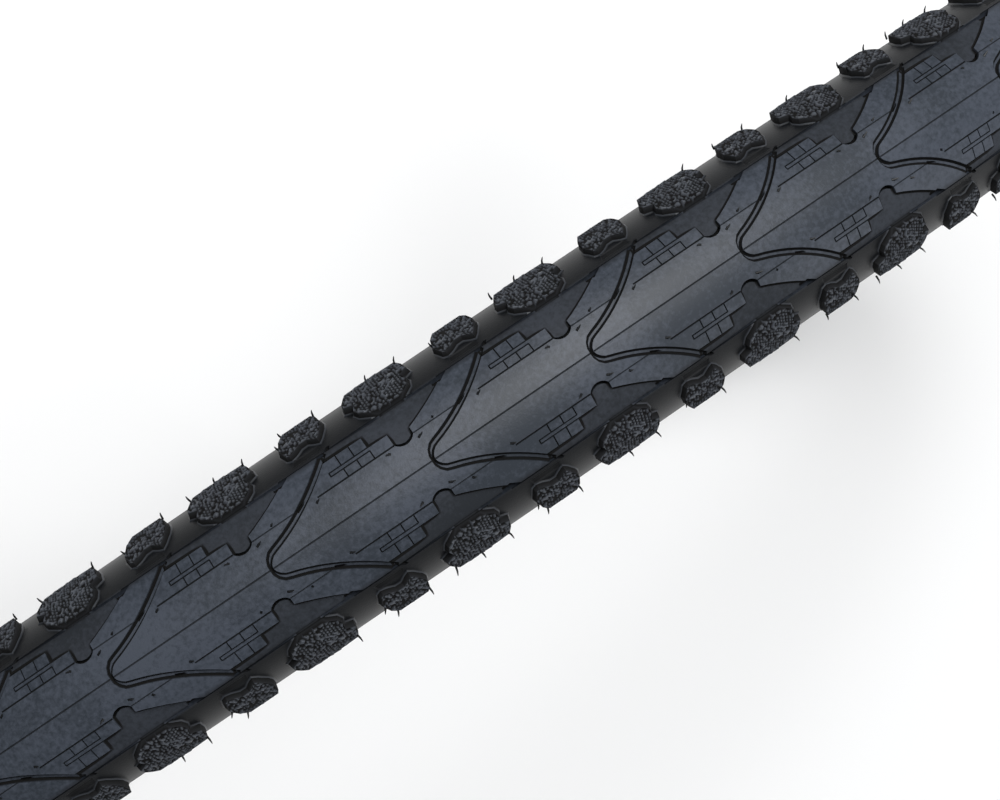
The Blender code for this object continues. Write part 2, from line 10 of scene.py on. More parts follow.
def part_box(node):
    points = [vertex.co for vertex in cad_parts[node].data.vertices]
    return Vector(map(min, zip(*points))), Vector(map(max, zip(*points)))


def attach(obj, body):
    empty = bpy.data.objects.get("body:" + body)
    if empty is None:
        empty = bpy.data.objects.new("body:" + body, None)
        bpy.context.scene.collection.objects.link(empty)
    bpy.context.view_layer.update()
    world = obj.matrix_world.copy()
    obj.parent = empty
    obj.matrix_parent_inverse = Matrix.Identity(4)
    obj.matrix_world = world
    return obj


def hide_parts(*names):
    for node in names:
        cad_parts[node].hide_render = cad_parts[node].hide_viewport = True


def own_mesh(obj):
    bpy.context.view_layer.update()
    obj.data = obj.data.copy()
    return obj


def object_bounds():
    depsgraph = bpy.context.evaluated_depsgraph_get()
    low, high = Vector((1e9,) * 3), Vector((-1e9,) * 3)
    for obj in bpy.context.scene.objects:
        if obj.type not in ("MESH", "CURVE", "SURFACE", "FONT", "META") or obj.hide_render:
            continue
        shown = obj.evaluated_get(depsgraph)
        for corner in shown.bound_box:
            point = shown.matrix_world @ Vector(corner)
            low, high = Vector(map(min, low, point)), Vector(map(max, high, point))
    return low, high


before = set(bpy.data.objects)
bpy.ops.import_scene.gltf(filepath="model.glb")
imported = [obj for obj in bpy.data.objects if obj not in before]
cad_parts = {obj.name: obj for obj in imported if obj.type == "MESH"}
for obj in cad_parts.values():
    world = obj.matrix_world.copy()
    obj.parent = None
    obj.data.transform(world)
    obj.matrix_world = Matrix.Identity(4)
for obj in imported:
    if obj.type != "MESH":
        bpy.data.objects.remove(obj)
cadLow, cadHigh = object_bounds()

# Bicycle tyre 40-622 with its tube and valve. The axle is +Y, the valve is at the bottom.
# Shape values are in millimetres. A section point is (axial, radial), its angle 0 at the crown.
mm = 0.001

tyreSize = {
    "crownRadius": 350.0,
    "crownArc": 22.2,  # radius of the crown across the tyre
    "shoulderLine": 12.8,  # middle plane to the moulded shoulder line
    "pitches": 60,
    "skinCentre": 330.5,  # centre of the ellipse that the shoulders and sidewalls follow
    "skinHalfWidth": 18.95,
    "skinHeight": 20.0,
    "sectionCentre": 329.8,  # centre of the casing's circle
    "casing": 16.7,
    "ply": 0.45,
    "gap": 0.3,
    "beadSpread": 8.35,
    "beadRadius": 313.3,
    "skirtAngle": 84.0,  # where the tread band's skirt meets the sidewall
}
pitch = 2 * math.pi * tyreSize["crownRadius"] / tyreSize["pitches"]
skinScale = (tyreSize["skinHalfWidth"] + tyreSize["skinHeight"]) / 2  # mm of skin per radian
shoulderStart = skinScale * math.asin(tyreSize["shoulderLine"] / tyreSize["skinHalfWidth"])
shoulderEnd = skinScale * math.radians(tyreSize["skirtAngle"])


def say(text):
    print("[tyre] " + text, flush=True)


def hexColour(code):
    # sRGB hex to the linear colour that the shaders take
    parts = [int(code[i:i + 2], 16) / 255 for i in (1, 3, 5)]
    linear = [c / 12.92 if c <= 0.04045 else ((c + 0.055) / 1.055) ** 2.4 for c in parts]
    return (*linear, 1.0)


def makeObject(name, mesh):
    piece = bpy.data.objects.new(name, mesh)
    bpy.context.scene.collection.objects.link(piece)
    return piece


def newMesh(name, vertices, faces):
    mesh = bpy.data.meshes.new(name)
    mesh.from_pydata([tuple(v) for v in vertices], [], faces)
    return mesh


def turnedArea(points):
    # Twice the area of a closed outline, positive when it runs counterclockwise
    return sum(a[0] * b[1] - b[0] * a[1] for a, b in zip(points, points[1:] + points[:1]))


def smoothMesh(mesh, angle=34):
    mesh.shade_smooth()
    mesh.set_sharp_from_angle(angle=math.radians(angle))


def finishPiece(piece, body, node=None, angle=34):
    smoothMesh(piece.data, angle)
    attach(piece, body)
    if node:
        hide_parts(node)


def addNode(tree, kind, values=None, links=None, **settings):
    # values sets sockets, links joins them to other nodes' outputs, settings are the node's own
    node = tree.nodes.new(kind)
    for key, value in settings.items():
        setattr(node, key, value)
    for key, value in (values or {}).items():
        node.inputs[key].default_value = value
    for key, output in (links or {}).items():
        tree.links.new(output, node.inputs[key])
    return node


def newMaterial(name, **shaderValues):
    material = bpy.data.materials.new(name)
    material.use_nodes = True
    tree = material.node_tree
    shader = tree.nodes["Principled BSDF"]
    for key, value in shaderValues.items():
        shader.inputs[key].default_value = value
    coords = addNode(tree, "ShaderNodeTexCoord").outputs["Object"]
    return material, tree, shader, coords


def rubberMaterial(name, look):
    # Moulded butyl or natural rubber: a dark satin skin, faintly mottled, with a very fine grain
    material, tree, shader, coords = newMaterial(
        name, **{"Roughness": look["roughness"], "IOR": 1.52, "Specular IOR Level": look["shine"]})
    mottle = addNode(tree, "ShaderNodeTexNoise", {"Scale": 1000 / look["mottleSize"], "Detail": 4.0,
                     "Roughness": 0.62}, {"Vector": coords})
    cloud = addNode(tree, "ShaderNodeTexNoise", {"Scale": 1000 / look["cloudSize"], "Detail": 2.0},
                    {"Vector": coords})
    both = addNode(tree, "ShaderNodeMath", {2: 0.0}, {0: mottle.outputs["Fac"], 1: cloud.outputs["Fac"]},
                   operation="ADD")
    spread = addNode(tree, "ShaderNodeMapRange", {"From Min": 0.84, "From Max": 1.16},
                     {"Value": both.outputs[0]})
    colour = addNode(tree, "ShaderNodeMix", {"A": hexColour(look["dark"]), "B": hexColour(look["light"])},
                     {"Factor": spread.outputs["Result"]}, data_type="RGBA")
    surface = colour.outputs["Result"]
    # Painted shade: the shoulders are darker than the crown
    if look.get("shoulderShade"):
        surface = paintedShoulderShade(tree, coords, surface, look)
    # Painted highlight: knob tops take a lighter colour, which shows mostly on the bead crests that escape
    # the painted shade
    if look.get("knob"):
        knob = addNode(tree, "ShaderNodeAttribute", attribute_name="knob")
        onKnob = addNode(tree, "ShaderNodeMix", {"B": hexColour(look["knob"])},
                         {"Factor": knob.outputs["Fac"], "A": surface}, data_type="RGBA")
        surface = onKnob.outputs["Result"]
    # Painted shade: walls, grooves, pits, sunk panels, knob tops and the dips between beads are darkened
    # towards near black
    if look.get("creaseShade"):
        creaseShade = addNode(tree, "ShaderNodeAttribute", attribute_name="creaseShade")
        inCrease = addNode(tree, "ShaderNodeMix", {"B": hexColour(look["creaseShade"])},
                           {"Factor": creaseShade.outputs["Fac"], "A": surface}, data_type="RGBA")
        surface = inCrease.outputs["Result"]
        dull = addNode(tree, "ShaderNodeMapRange", {"To Min": look["roughness"], "To Max": 0.95},
                       {"Value": creaseShade.outputs["Fac"]})
        tree.links.new(dull.outputs["Result"], shader.inputs["Roughness"])
    tree.links.new(surface, shader.inputs["Base Color"])
    grain = addNode(tree, "ShaderNodeTexNoise", {"Scale": 1000 / look["grainSize"], "Detail": 2.0},
                    {"Vector": coords})
    bump = addNode(tree, "ShaderNodeBump", {"Strength": look["grainStrength"], "Distance": 0.06 * mm},
                   {"Height": grain.outputs["Fac"]})
    if look.get("cord"):
        # The casing's cords print through a thin sidewall
        cords = addNode(tree, "ShaderNodeBump", {"Strength": 0.3, "Distance": 0.1 * mm}, {
            "Height": biasThreads(tree, coords, look["cord"]), "Normal": bump.outputs["Normal"]})
        bump = cords
    tree.links.new(bump.outputs["Normal"], shader.inputs["Normal"])
    return material


def biasThreads(tree, coords, threadSize):
    # 0 to 1 across threads that run round the wheel at 45 degrees
    place = addNode(tree, "ShaderNodeSeparateXYZ", links={"Vector": coords})
    turn = addNode(tree, "ShaderNodeMath", links={0: place.outputs["Z"], 1: place.outputs["X"]},
                   operation="ARCTAN2")
    around = addNode(tree, "ShaderNodeMath", {1: tyreSize["skinCentre"] * mm}, {0: turn.outputs[0]},
                     operation="MULTIPLY")
    flat = addNode(tree, "ShaderNodeVectorMath", links={0: coords}, operation="MULTIPLY")
    flat.inputs[1].default_value = (1.0, 0.0, 1.0)
    reach = addNode(tree, "ShaderNodeVectorMath", links={0: flat.outputs["Vector"]}, operation="LENGTH")
    bias = addNode(tree, "ShaderNodeMath", links={0: around.outputs[0], 1: reach.outputs["Value"]},
                   operation="ADD")
    rate = addNode(tree, "ShaderNodeMath", {1: 2 * math.pi / (threadSize * mm * math.sqrt(2))},
                   {0: bias.outputs[0]}, operation="MULTIPLY")
    wave = addNode(tree, "ShaderNodeMath", links={0: rate.outputs[0]}, operation="SINE")
    thread = addNode(tree, "ShaderNodeMapRange", {"From Min": -1.0, "From Max": 1.0},
                     {"Value": wave.outputs[0]})
    return thread.outputs["Result"]


def paintedShoulderShade(tree, coords, surface, look):
    # Painted shade: past the shoulder line on either side the rubber takes a darker colour, where the
    # shoulders turn away from the light
    place = addNode(tree, "ShaderNodeSeparateXYZ", links={"Vector": coords})
    aside = addNode(tree, "ShaderNodeMath", links={0: place.outputs["Y"]}, operation="ABSOLUTE")
    shoulderShade = addNode(tree, "ShaderNodeMapRange",
                    {"From Min": (tyreSize["shoulderLine"] - 0.9) * mm,
                     "From Max": (tyreSize["shoulderLine"] + 0.4) * mm},
                    {"Value": aside.outputs[0]})
    mixed = addNode(tree, "ShaderNodeMix", {"B": hexColour(look["shoulderShade"])},
                    {"Factor": shoulderShade.outputs["Result"], "A": surface}, data_type="RGBA")
    return mixed.outputs["Result"]


treadLook = {
    # Past the light and dark mottle: a painted shade for the shoulders, a painted highlight for knob tops and
    # a near black painted shade for hollows
    "light": "#383D46", "dark": "#262B32", "shoulderShade": "#0B0D10", "knob": "#474B52", "creaseShade": "#010101",
    "roughness": 0.43, "shine": 0.22,
    "mottleSize": 1.0, "cloudSize": 26.0, "grainSize": 0.35, "grainStrength": 0.4,
}
hairLook = {
    "light": "#101113", "dark": "#08090A", "roughness": 0.5, "shine": 0.3,
    "mottleSize": 0.9, "cloudSize": 12.0, "grainSize": 0.3, "grainStrength": 0.3,
}
sidewallLook = {
    "light": "#212428", "dark": "#17191C", "roughness": 0.5, "shine": 0.35,
    "mottleSize": 1.6, "cloudSize": 30.0, "grainSize": 0.4, "grainStrength": 0.4, "cord": 0.9,
}
tubeLook = {
    "light": "#1C1C1E", "dark": "#121214", "roughness": 0.5, "shine": 0.4,
    "mottleSize": 2.4, "cloudSize": 20.0, "grainSize": 0.5, "grainStrength": 0.3,
}


def clothMaterial(name, light, dark, threadSize, roughness=0.85):
    # Rubber-dipped nylon cord: fine parallel threads laid on the bias, matt with a dull sheen
    material, tree, shader, coords = newMaterial(name, Roughness=roughness)
    thread = biasThreads(tree, coords, threadSize)
    colour = addNode(tree, "ShaderNodeMix", {"A": hexColour(dark), "B": hexColour(light)},
                     {"Factor": thread}, data_type="RGBA")
    tree.links.new(colour.outputs["Result"], shader.inputs["Base Color"])
    bump = addNode(tree, "ShaderNodeBump", {"Strength": 0.7, "Distance": 0.15 * mm},
                   {"Height": thread})
    tree.links.new(bump.outputs["Normal"], shader.inputs["Normal"])
    return material


def patchyFinish(parts, colours, patchSize, patchDetail, grainSize, grainDetail, strength, depth):
    # Patches of two near colours and a fine unevenness over them; returns where the patches are
    _, tree, shader, coords = parts
    patch = addNode(tree, "ShaderNodeTexNoise", {"Scale": 1000 / patchSize, "Detail": patchDetail},
                    {"Vector": coords})
    tone = addNode(tree, "ShaderNodeMix", {"A": hexColour(colours[0]), "B": hexColour(colours[1])},
                   {"Factor": patch.outputs["Fac"]}, data_type="RGBA")
    tree.links.new(tone.outputs["Result"], shader.inputs["Base Color"])
    grain = addNode(tree, "ShaderNodeTexNoise", {"Scale": 1000 / grainSize, "Detail": grainDetail},
                    {"Vector": coords})
    bump = addNode(tree, "ShaderNodeBump", {"Strength": strength, "Distance": depth * mm},
                   {"Height": grain.outputs["Fac"]})
    tree.links.new(bump.outputs["Normal"], shader.inputs["Normal"])
    return patch.outputs["Fac"]


def metalMaterial(name, colour, shade, roughness):
    # Turned and plated brass or drawn steel: bright metal, its roughness uneven from handling
    parts = newMaterial(name, Metallic=1.0)
    material, tree, shader, _ = parts
    smear = patchyFinish(parts, (shade, colour), 3.0, 4.0, 0.25, 2.0, 0.12, 0.03)
    dull = addNode(tree, "ShaderNodeMapRange", {"To Min": roughness - 0.08, "To Max": roughness + 0.12},
                   {"Value": smear})
    tree.links.new(dull.outputs["Result"], shader.inputs["Roughness"])
    return material


def plasticMaterial(name, colour, shade, roughness):
    # Moulded polypropylene or PTFE: an even colour under a faint orange-peel skin
    parts = newMaterial(name, Roughness=roughness, IOR=1.49)
    patchyFinish(parts, (shade, colour), 4.0, 3.0, 0.5, 1.0, 0.2, 0.04)
    return parts[0]


mouldedTreadRubber = rubberMaterial("moulded_tread_rubber", treadLook)
blackHairRubber = rubberMaterial("black_hair_rubber", hairLook)
sidewallRubber = rubberMaterial("thin_sidewall_rubber", sidewallLook)
butylRubber = rubberMaterial("butyl_tube_rubber", tubeLook)
nylonCasing = clothMaterial("nylon_casing_cloth", "#8C8069", "#5F5644", 0.9)
aramidBelt = clothMaterial("aramid_belt_cloth", "#B98A34", "#8C641F", 1.1)
chaferCloth = clothMaterial("rubbed_chafer_cloth", "#3A3A3C", "#232325", 0.8)
bronzedWire = metalMaterial("bronzed_bead_wire", "#B59A6A", "#8C744C", 0.34)
turnedBrass = metalMaterial("turned_valve_brass", "#D9B869", "#B8934A", 0.3)
nickelPlate = metalMaterial("nickel_plated_brass", "#CFCBC2", "#B2ADA3", 0.26)
springSteel = metalMaterial("spring_steel", "#B4B6B9", "#8F9195", 0.3)
sealPlastic = plasticMaterial("red_ptfe_seal", "#B5352B", "#98251E", 0.45)
capPlastic = plasticMaterial("black_cap_plastic", "#1B1B1D", "#131315", 0.4)
say("materials made")


def onCrown(axial, height):
    lean = np.arcsin(np.asarray(axial) / tyreSize["crownArc"])
    centre = tyreSize["crownRadius"] - tyreSize["crownArc"]
    reach = tyreSize["crownArc"] + height
    return reach * np.sin(lean), centre + reach * np.cos(lean)


def onSkin(along, height):
    # along is the distance over the skin from the crown, height stands off it squarely
    angle = np.asarray(along) / skinScale
    outX = tyreSize["skinHeight"] * np.sin(angle)
    outZ = tyreSize["skinHalfWidth"] * np.cos(angle)
    length = np.hypot(outX, outZ)
    axial = tyreSize["skinHalfWidth"] * np.sin(angle) + height * outX / length
    radial = tyreSize["skinCentre"] + tyreSize["skinHeight"] * np.cos(angle) + height * outZ / length
    return axial, radial


def onCasing(radius, degrees):
    angle = math.radians(degrees)
    return (radius * math.sin(angle), tyreSize["sectionCentre"] + radius * math.cos(angle))


def fromBead(across, up):
    return (tyreSize["beadSpread"] + across, tyreSize["beadRadius"] + up)


def wheelPoints(around, axial, radial, side=1):
    # around is mm along the crown's circumference from the top, towards +X
    turn = np.asarray(around) / tyreSize["crownRadius"]
    outY = side * np.asarray(axial) + 0 * turn
    return np.stack([radial * np.sin(turn), outY, radial * np.cos(turn)], 1) * mm


def resample(path, step):
    # The same path with no stretch longer than step
    points = [path[0]]
    for start, end in zip(path, path[1:]):
        count = max(1, math.ceil(math.dist(start, end) / step))
        for i in range(1, count + 1):
            points.append((start[0] + (end[0] - start[0]) * i / count,
                           start[1] + (end[1] - start[1]) * i / count))
    return points


def closedOutline(points, step):
    # A closed outline that runs counterclockwise, without its first point repeated
    ring = resample(list(points) + [points[0]], step)[:-1]
    return np.array(ring if turnedArea(ring) > 0 else ring[::-1])


def strip(path, halfWidths):
    # A closed outline of a stripe that follows a path, with one half width or one for each point
    line = np.array(path, float)
    ahead = np.gradient(line, axis=0)
    ahead /= np.linalg.norm(ahead, axis=1)[:, None]
    left = np.stack([-ahead[:, 1], ahead[:, 0]], 1) * np.reshape(halfWidths, (-1, 1))
    return [tuple(p) for p in line + left] + [tuple(p) for p in (line - left)[::-1]]


def inset(outline, distance):
    # The outline moved inwards, each corner along its mitre
    before = outline - np.roll(outline, 1, axis=0)
    after = np.roll(outline, -1, axis=0) - outline
    normals = []
    for edge in (before, after):
        length = np.linalg.norm(edge, axis=1)[:, None]
        normals.append(np.stack([-edge[:, 1], edge[:, 0]], 1) / length)
    mitre = normals[0] + normals[1]
    square = np.maximum((mitre ** 2).sum(1), 1.0)
    return outline + mitre * (2 * distance / square)[:, None]


def depthInside(points, outline):
    # Distance of each point to a closed outline, positive inside it
    start, end = outline, np.roll(outline, -1, axis=0)
    run = end - start
    offset = points[:, None] - start
    share = np.clip((offset * run).sum(2) / (run ** 2).sum(1), 0, 1)
    distance = np.sqrt(((offset - share[:, :, None] * run) ** 2).sum(2)).min(1)
    x, y = points[:, 0][:, None], points[:, 1][:, None]
    rise = np.where(run[:, 1] == 0, 1e-12, run[:, 1])
    spans = (start[:, 1] > y) != (end[:, 1] > y)
    crosses = spans & (x < start[:, 0] + (y - start[:, 1]) * run[:, 0] / rise)
    return np.where(crosses.sum(1) % 2 == 1, distance, -distance)


def relief(outline, profile, scale=None, repeats=True, studs=None):
    # A raised or sunk shape: profile lists (distance inside the outline, height, painted shade)
    return {"outline": outline, "profile": profile, "scale": scale, "repeats": repeats, "studs": studs}


# A thin sunk line, its floor darkened with painted shade
def sunkLine(path, halfWidth, depth, repeats=True, creaseShade=0.95):
    profile = [(0.0, 0.0, 0.0), (0.05, -depth, creaseShade)]
    return relief(closedOutline(strip(path, halfWidth), 2.2), profile, repeats=repeats)


# A sunk pit, its walls and floor darkened with painted shade
def pit(points, depth, step=2.0, wall=0.06, creaseShade=1.0, repeats=True):
    return relief(closedOutline(points, step), [(0.0, 0.0, 0.0), (wall, -depth, creaseShade)], repeats=repeats)


def shiftsOf(shape):
    return (-pitch, 0.0, pitch) if shape["repeats"] else (0.0,)


def studLattice(shape):
    # Rough beads inside the shape, unevenly placed: each crest has a ring of dips round it. The dips take
    # full painted shade and the crests a little, at random
    studs = shape["studs"]
    low, high = shape["outline"].min(0), shape["outline"].max(0)
    across = studs["step"] * math.sqrt(3) / 2
    rows = range(int(low[1] / across) - 1, int(high[1] / across) + 2)
    columns = range(int(low[0] / studs["step"]) - 2, int(high[0] / studs["step"]) + 3)
    nodes = np.array([(c, r) for c in columns for r in rows])
    places = np.stack([(nodes[:, 0] + 0.5 * (nodes[:, 1] % 2)) * studs["step"], nodes[:, 1] * across], 1)
    slanted = nodes[:, 0] - nodes[:, 1] // 2
    shake = np.random.default_rng(11)
    crest = ((slanted - nodes[:, 1]) % 3 == 0) ^ (shake.random(len(nodes)) < studs["odd"])
    places = places + shake.uniform(-1, 1, places.shape) * studs["shake"]
    lift = np.where(crest, shake.uniform(0.3, 1.0, len(crest)) * studs["crest"], -studs["dip"])
    tone = np.where(crest, shake.uniform(0.0, 0.35, len(crest)), 1.0)
    keep = depthInside(places, shape["outline"]) > shape["profile"][-1][0] + studs["margin"]
    return places[keep], lift[keep], tone[keep]


def heightsAt(points, shapes):
    # Height, painted shade and the share of knob top that takes a painted highlight at flat points, from all
    # the shapes and their repeats
    height, creaseShade, knob = np.zeros(len(points)), np.zeros(len(points)), np.zeros(len(points))
    for shape in shapes:
        rows = np.array(shape["profile"])
        for shift in shiftsOf(shape):
            inside = depthInside(points - (shift, 0), shape["outline"])
            level = np.interp(inside, rows[:, 0], rows[:, 1])
            if shape["scale"]:
                level = level * shape["scale"](points[:, 0] - shift, points[:, 1])
            if shape["studs"]:
                places, lift, beadShade = studLattice(shape)
                gaps = np.abs(points[:, None] - (shift, 0) - places).max(2)
                onBead, nearest = gaps.min(1) < 0.01, gaps.argmin(1)
                level = level + np.where(onBead, lift[nearest], 0.0)
                knob = np.maximum(knob, np.clip(inside / rows[-1, 0], 0, 1))
            within = inside > -0.0001
            further = np.maximum if rows[:, 1].max() > 0 else np.minimum
            height = np.where(within, further(height, level), height)
            tone = np.interp(inside, rows[:, 0], rows[:, 2])
            if shape["studs"]:
                tone = np.where(onBead, beadShade[nearest], tone)
            creaseShade = np.where(within, np.maximum(creaseShade, tone), creaseShade)
    return height, creaseShade, knob


def outlineNetwork(shapes, low, high, step):
    # The fixed points and edges for one pitch: every outline, its insets and the frame
    points, edges = [], []
    for shape in shapes:
        for distance in [row[0] for row in shape["profile"]]:
            ring = inset(shape["outline"], distance)
            for shift in shiftsOf(shape):
                moved = ring + (shift, 0)
                if moved[:, 0].max() < 0 or moved[:, 0].min() > pitch:
                    continue
                first = len(points)
                points += [tuple(p) for p in moved]
                edges += [(first + i, first + (i + 1) % len(ring)) for i in range(len(ring))]
        if shape["studs"]:
            places, _, _ = studLattice(shape)
            for shift in shiftsOf(shape):
                moved = places + (shift, 0)
                points += [tuple(p) for p in moved if 0.1 < p[0] < pitch - 0.1]
    columns = np.linspace(0, pitch, 13)
    rows = np.linspace(low, high, max(2, round((high - low) / step)) + 1)
    frameLines = [[(x, low) for x in columns], [(x, high) for x in columns]]
    frameLines += [[(x, y) for y in rows] for x in (0.0, pitch)]
    for line in frameLines:
        first = len(points)
        points += line
        edges += [(first + i, first + i + 1) for i in range(len(line) - 1)]
    return points, edges, columns, rows


def fillPoints(shapes, columns, rows, clearance):
    # Grid points that keep the wheel round, away from every outline
    grid = np.array([(x, y) for x in columns[1:-1] for y in rows[1:-1]])
    clear = np.ones(len(grid), bool)
    for shape in shapes:
        for shift in shiftsOf(shape):
            inside = depthInside(grid - (shift, 0), shape["outline"])
            bands = [abs(inside - row[0]) > clearance for row in shape["profile"]]
            clear &= np.logical_and.reduce(bands)
            if shape["studs"]:
                clear &= inside < shape["profile"][-1][0]
    return [tuple(p) for p in grid[clear]]


def zipRows(first, second):
    # Triangles between two rows of (index, position) that run the same way
    faces, i, j = [], 0, 0
    while i < len(first) - 1 or j < len(second) - 1:
        stepFirst = j == len(second) - 1 or (
            i < len(first) - 1 and first[i + 1][1] <= second[j + 1][1])
        if stepFirst:
            faces.append((first[i][0], first[i + 1][0], second[j][0]))
            i += 1
        else:
            faces.append((first[i][0], second[j + 1][0], second[j][0]))
            j += 1
    return faces


def pitchMesh(name, shapes, low, high, surface, bed, side, begin=0.0, step=1.6):
    # One pitch of a closed band from begin on: a moulded outside, the bed under it and the two edges
    shapes = [{**shape, "outline": shape["outline"] - (begin, 0)} for shape in shapes]
    points, edges, columns, rows = outlineNetwork(shapes, low, high, step)
    points += fillPoints(shapes, columns, rows, 0.35)
    flat, _, triangles, _, _, _ = delaunay_2d_cdt([Vector(p) for p in points], edges, [], 0, 1e-5, True)
    flat = np.array([tuple(p) for p in flat])
    middle = flat[np.array([tuple(t) for t in triangles])].mean(1)
    kept = [tuple(t) for t, m in zip(triangles, middle)
            if 0 < m[0] < pitch and low < m[1] < high]
    used = sorted(set(i for t in kept for i in t))
    renumber = {old: new for new, old in enumerate(used)}
    flat = flat[used]
    faces = [tuple(renumber[i] for i in t) for t in kept]
    height, creaseShade, knob = heightsAt(flat, shapes)
    axial, radial = surface(flat[:, 1], height)
    vertices = list(wheelPoints(flat[:, 0] + begin, axial, radial, side))
    bedRows = []
    for edge in (low, high):
        onEdge = [i for i in range(len(flat)) if abs(flat[i, 1] - edge) < 1e-4]
        onEdge.sort(key=lambda i: flat[i, 0])
        bedPoint = bed[0] if edge == low else bed[-1]
        under = list(range(len(vertices), len(vertices) + len(onEdge)))
        vertices += list(wheelPoints(flat[onEdge, 0] + begin, bedPoint[0], bedPoint[1], side))
        for a, b, c, d in zip(onEdge, onEdge[1:], under[1:], under):
            faces.append((a, d, c, b) if edge == low else (a, b, c, d))
        bedRows.append([(i, flat[j, 0]) for i, j in zip(under, onEdge)])
    between = []
    for bedPoint in bed[1:-1]:
        first = len(vertices)
        vertices += list(wheelPoints(columns + begin, bedPoint[0], bedPoint[1], side))
        between.append([(first + i, x) for i, x in enumerate(columns)])
    allRows = [bedRows[0], *between, bedRows[1]]
    for nearer, farther in zip(allRows, allRows[1:]):
        faces += [face[::-1] for face in zipRows(nearer, farther)]
    mesh = newMesh(name, vertices, faces if side > 0 else [face[::-1] for face in faces])
    filler = np.zeros(len(vertices) - len(flat))
    # The painted shade and the knob tops' painted highlight share go on the points
    for attributeName, values in (("creaseShade", creaseShade), ("knob", knob)):
        attribute = mesh.attributes.new(attributeName, "FLOAT", "POINT")
        attribute.data.foreach_set("value", np.concatenate([values, filler]).astype(np.float32))
    return mesh


def repeatTree():
    # Copies of the object's own mesh set round the axle, some of their islands left out, then welded
    tree = bpy.data.node_groups.new("repeat_round_wheel", "GeometryNodeTree")
    face = tree.interface
    face.new_socket("Geometry", in_out="INPUT", socket_type="NodeSocketGeometry")
    for name, kind in (("Copies", "NodeSocketInt"), ("Weld distance", "NodeSocketFloat"),
                       ("Share left out", "NodeSocketFloat"), ("Seed", "NodeSocketInt"),
                       ("Material", "NodeSocketMaterial")):
        face.new_socket(name, in_out="INPUT", socket_type=kind)
    face.new_socket("Geometry", in_out="OUTPUT", socket_type="NodeSocketGeometry")
    source = addNode(tree, "NodeGroupInput").outputs
    line = addNode(tree, "GeometryNodeMeshLine", {"Offset": (0.0, 0.0, 0.0)}, {"Count": source["Copies"]})
    number = addNode(tree, "GeometryNodeInputIndex")
    share = addNode(tree, "ShaderNodeMath", links={0: number.outputs["Index"], 1: source["Copies"]},
                    operation="DIVIDE")
    turn = addNode(tree, "ShaderNodeMath", {1: 2 * math.pi}, {0: share.outputs[0]}, operation="MULTIPLY")
    about = addNode(tree, "ShaderNodeCombineXYZ", links={"Y": turn.outputs[0]})
    placed = addNode(tree, "GeometryNodeInstanceOnPoints", links={
        "Points": line.outputs["Mesh"], "Instance": source["Geometry"], "Rotation": about.outputs[0]})
    real = addNode(tree, "GeometryNodeRealizeInstances", links={"Geometry": placed.outputs["Instances"]})
    island = addNode(tree, "GeometryNodeInputMeshIsland")
    chance = addNode(tree, "FunctionNodeRandomValue", links={
        "Probability": source["Share left out"], "ID": island.outputs["Island Index"],
        "Seed": source["Seed"]}, data_type="BOOLEAN")
    fewer = addNode(tree, "GeometryNodeDeleteGeometry", links={
        "Geometry": real.outputs["Geometry"], "Selection": chance.outputs[3]})
    welded = addNode(tree, "GeometryNodeMergeByDistance", links={
        "Geometry": fewer.outputs["Geometry"], "Distance": source["Weld distance"]})
    painted = addNode(tree, "GeometryNodeSetMaterial", links={
        "Geometry": welded.outputs["Geometry"], "Material": source["Material"]})
    addNode(tree, "NodeGroupOutput", links={"Geometry": painted.outputs["Geometry"]})
    return tree


wheelRepeat = repeatTree()


def treeInput(tree, name):
    return next(s.identifier for s in tree.interface.items_tree
                if s.name == name and s.in_out == "INPUT")


def repeated(name, mesh, material, copies, leftOut=0.0, seed=1, weld=0.004):
    # The mesh repeated round the wheel as one plain mesh piece
    seedObject = makeObject(name + "_seed", mesh)
    modifier = seedObject.modifiers.new("repeat", "NODES")
    modifier.node_group = wheelRepeat
    for key, value in (("Copies", copies), ("Weld distance", weld * mm), ("Share left out", leftOut),
                       ("Seed", seed), ("Material", material)):
        modifier[treeInput(wheelRepeat, key)] = value
    bpy.context.view_layer.update()
    evaluated = seedObject.evaluated_get(bpy.context.evaluated_depsgraph_get())
    result = bpy.data.meshes.new_from_object(evaluated)
    seedObject.modifiers.clear()
    bpy.data.objects.remove(seedObject)
    piece = makeObject(name, result)
    say(f"{name}: {len(result.polygons)} faces")
    return piece


crownPattern = {
    "lineOffset": 6.4,  # middle plane to the line between crown and shoulder line
    "grooveDepth": 0.85,  # the V-shaped channel
    "grooveHalfWidth": 0.75,
    "panelDepth": 0.75,  # the sunk panel at its deep end
    "brickDepth": 0.3,
    "brickHalfWidth": 0.14,
    # Vent scars with a torn pip lying over each: (around, axial, pip length, run)
    "vents": [(14.0, 5.7, 1.0, 0.8), (30.3, 5.5, 0.9, -0.7), (36.9, 5.2, 1.2, 0.9), (41.0, 6.9, 0.8, 0.6)],
}


def channelPath():
    # One arm of the V: a round corner at the middle plane, then an ever steeper sweep outwards
    corner = [(-0.1, -1.1), (-0.15, 0.0), (0.0, 0.9), (0.5, 1.8), (1.3, 2.55)]
    sweep = [(u, 2.35 + 0.22 * u + 0.0158 * u * u) for u in np.linspace(2.4, 19.9, 13)]
    return corner + sweep


def hookArc(lift=0.0):
    # The round notch in the panel's inner edge, its lowest point 5.25 from the middle plane
    centre, radius, half = (34.1, 7.93), 2.68 - lift, math.radians(55)
    return [(centre[0] + radius * math.sin(a), centre[1] - radius * math.cos(a))
            for a in np.linspace(-half, half, 9)]


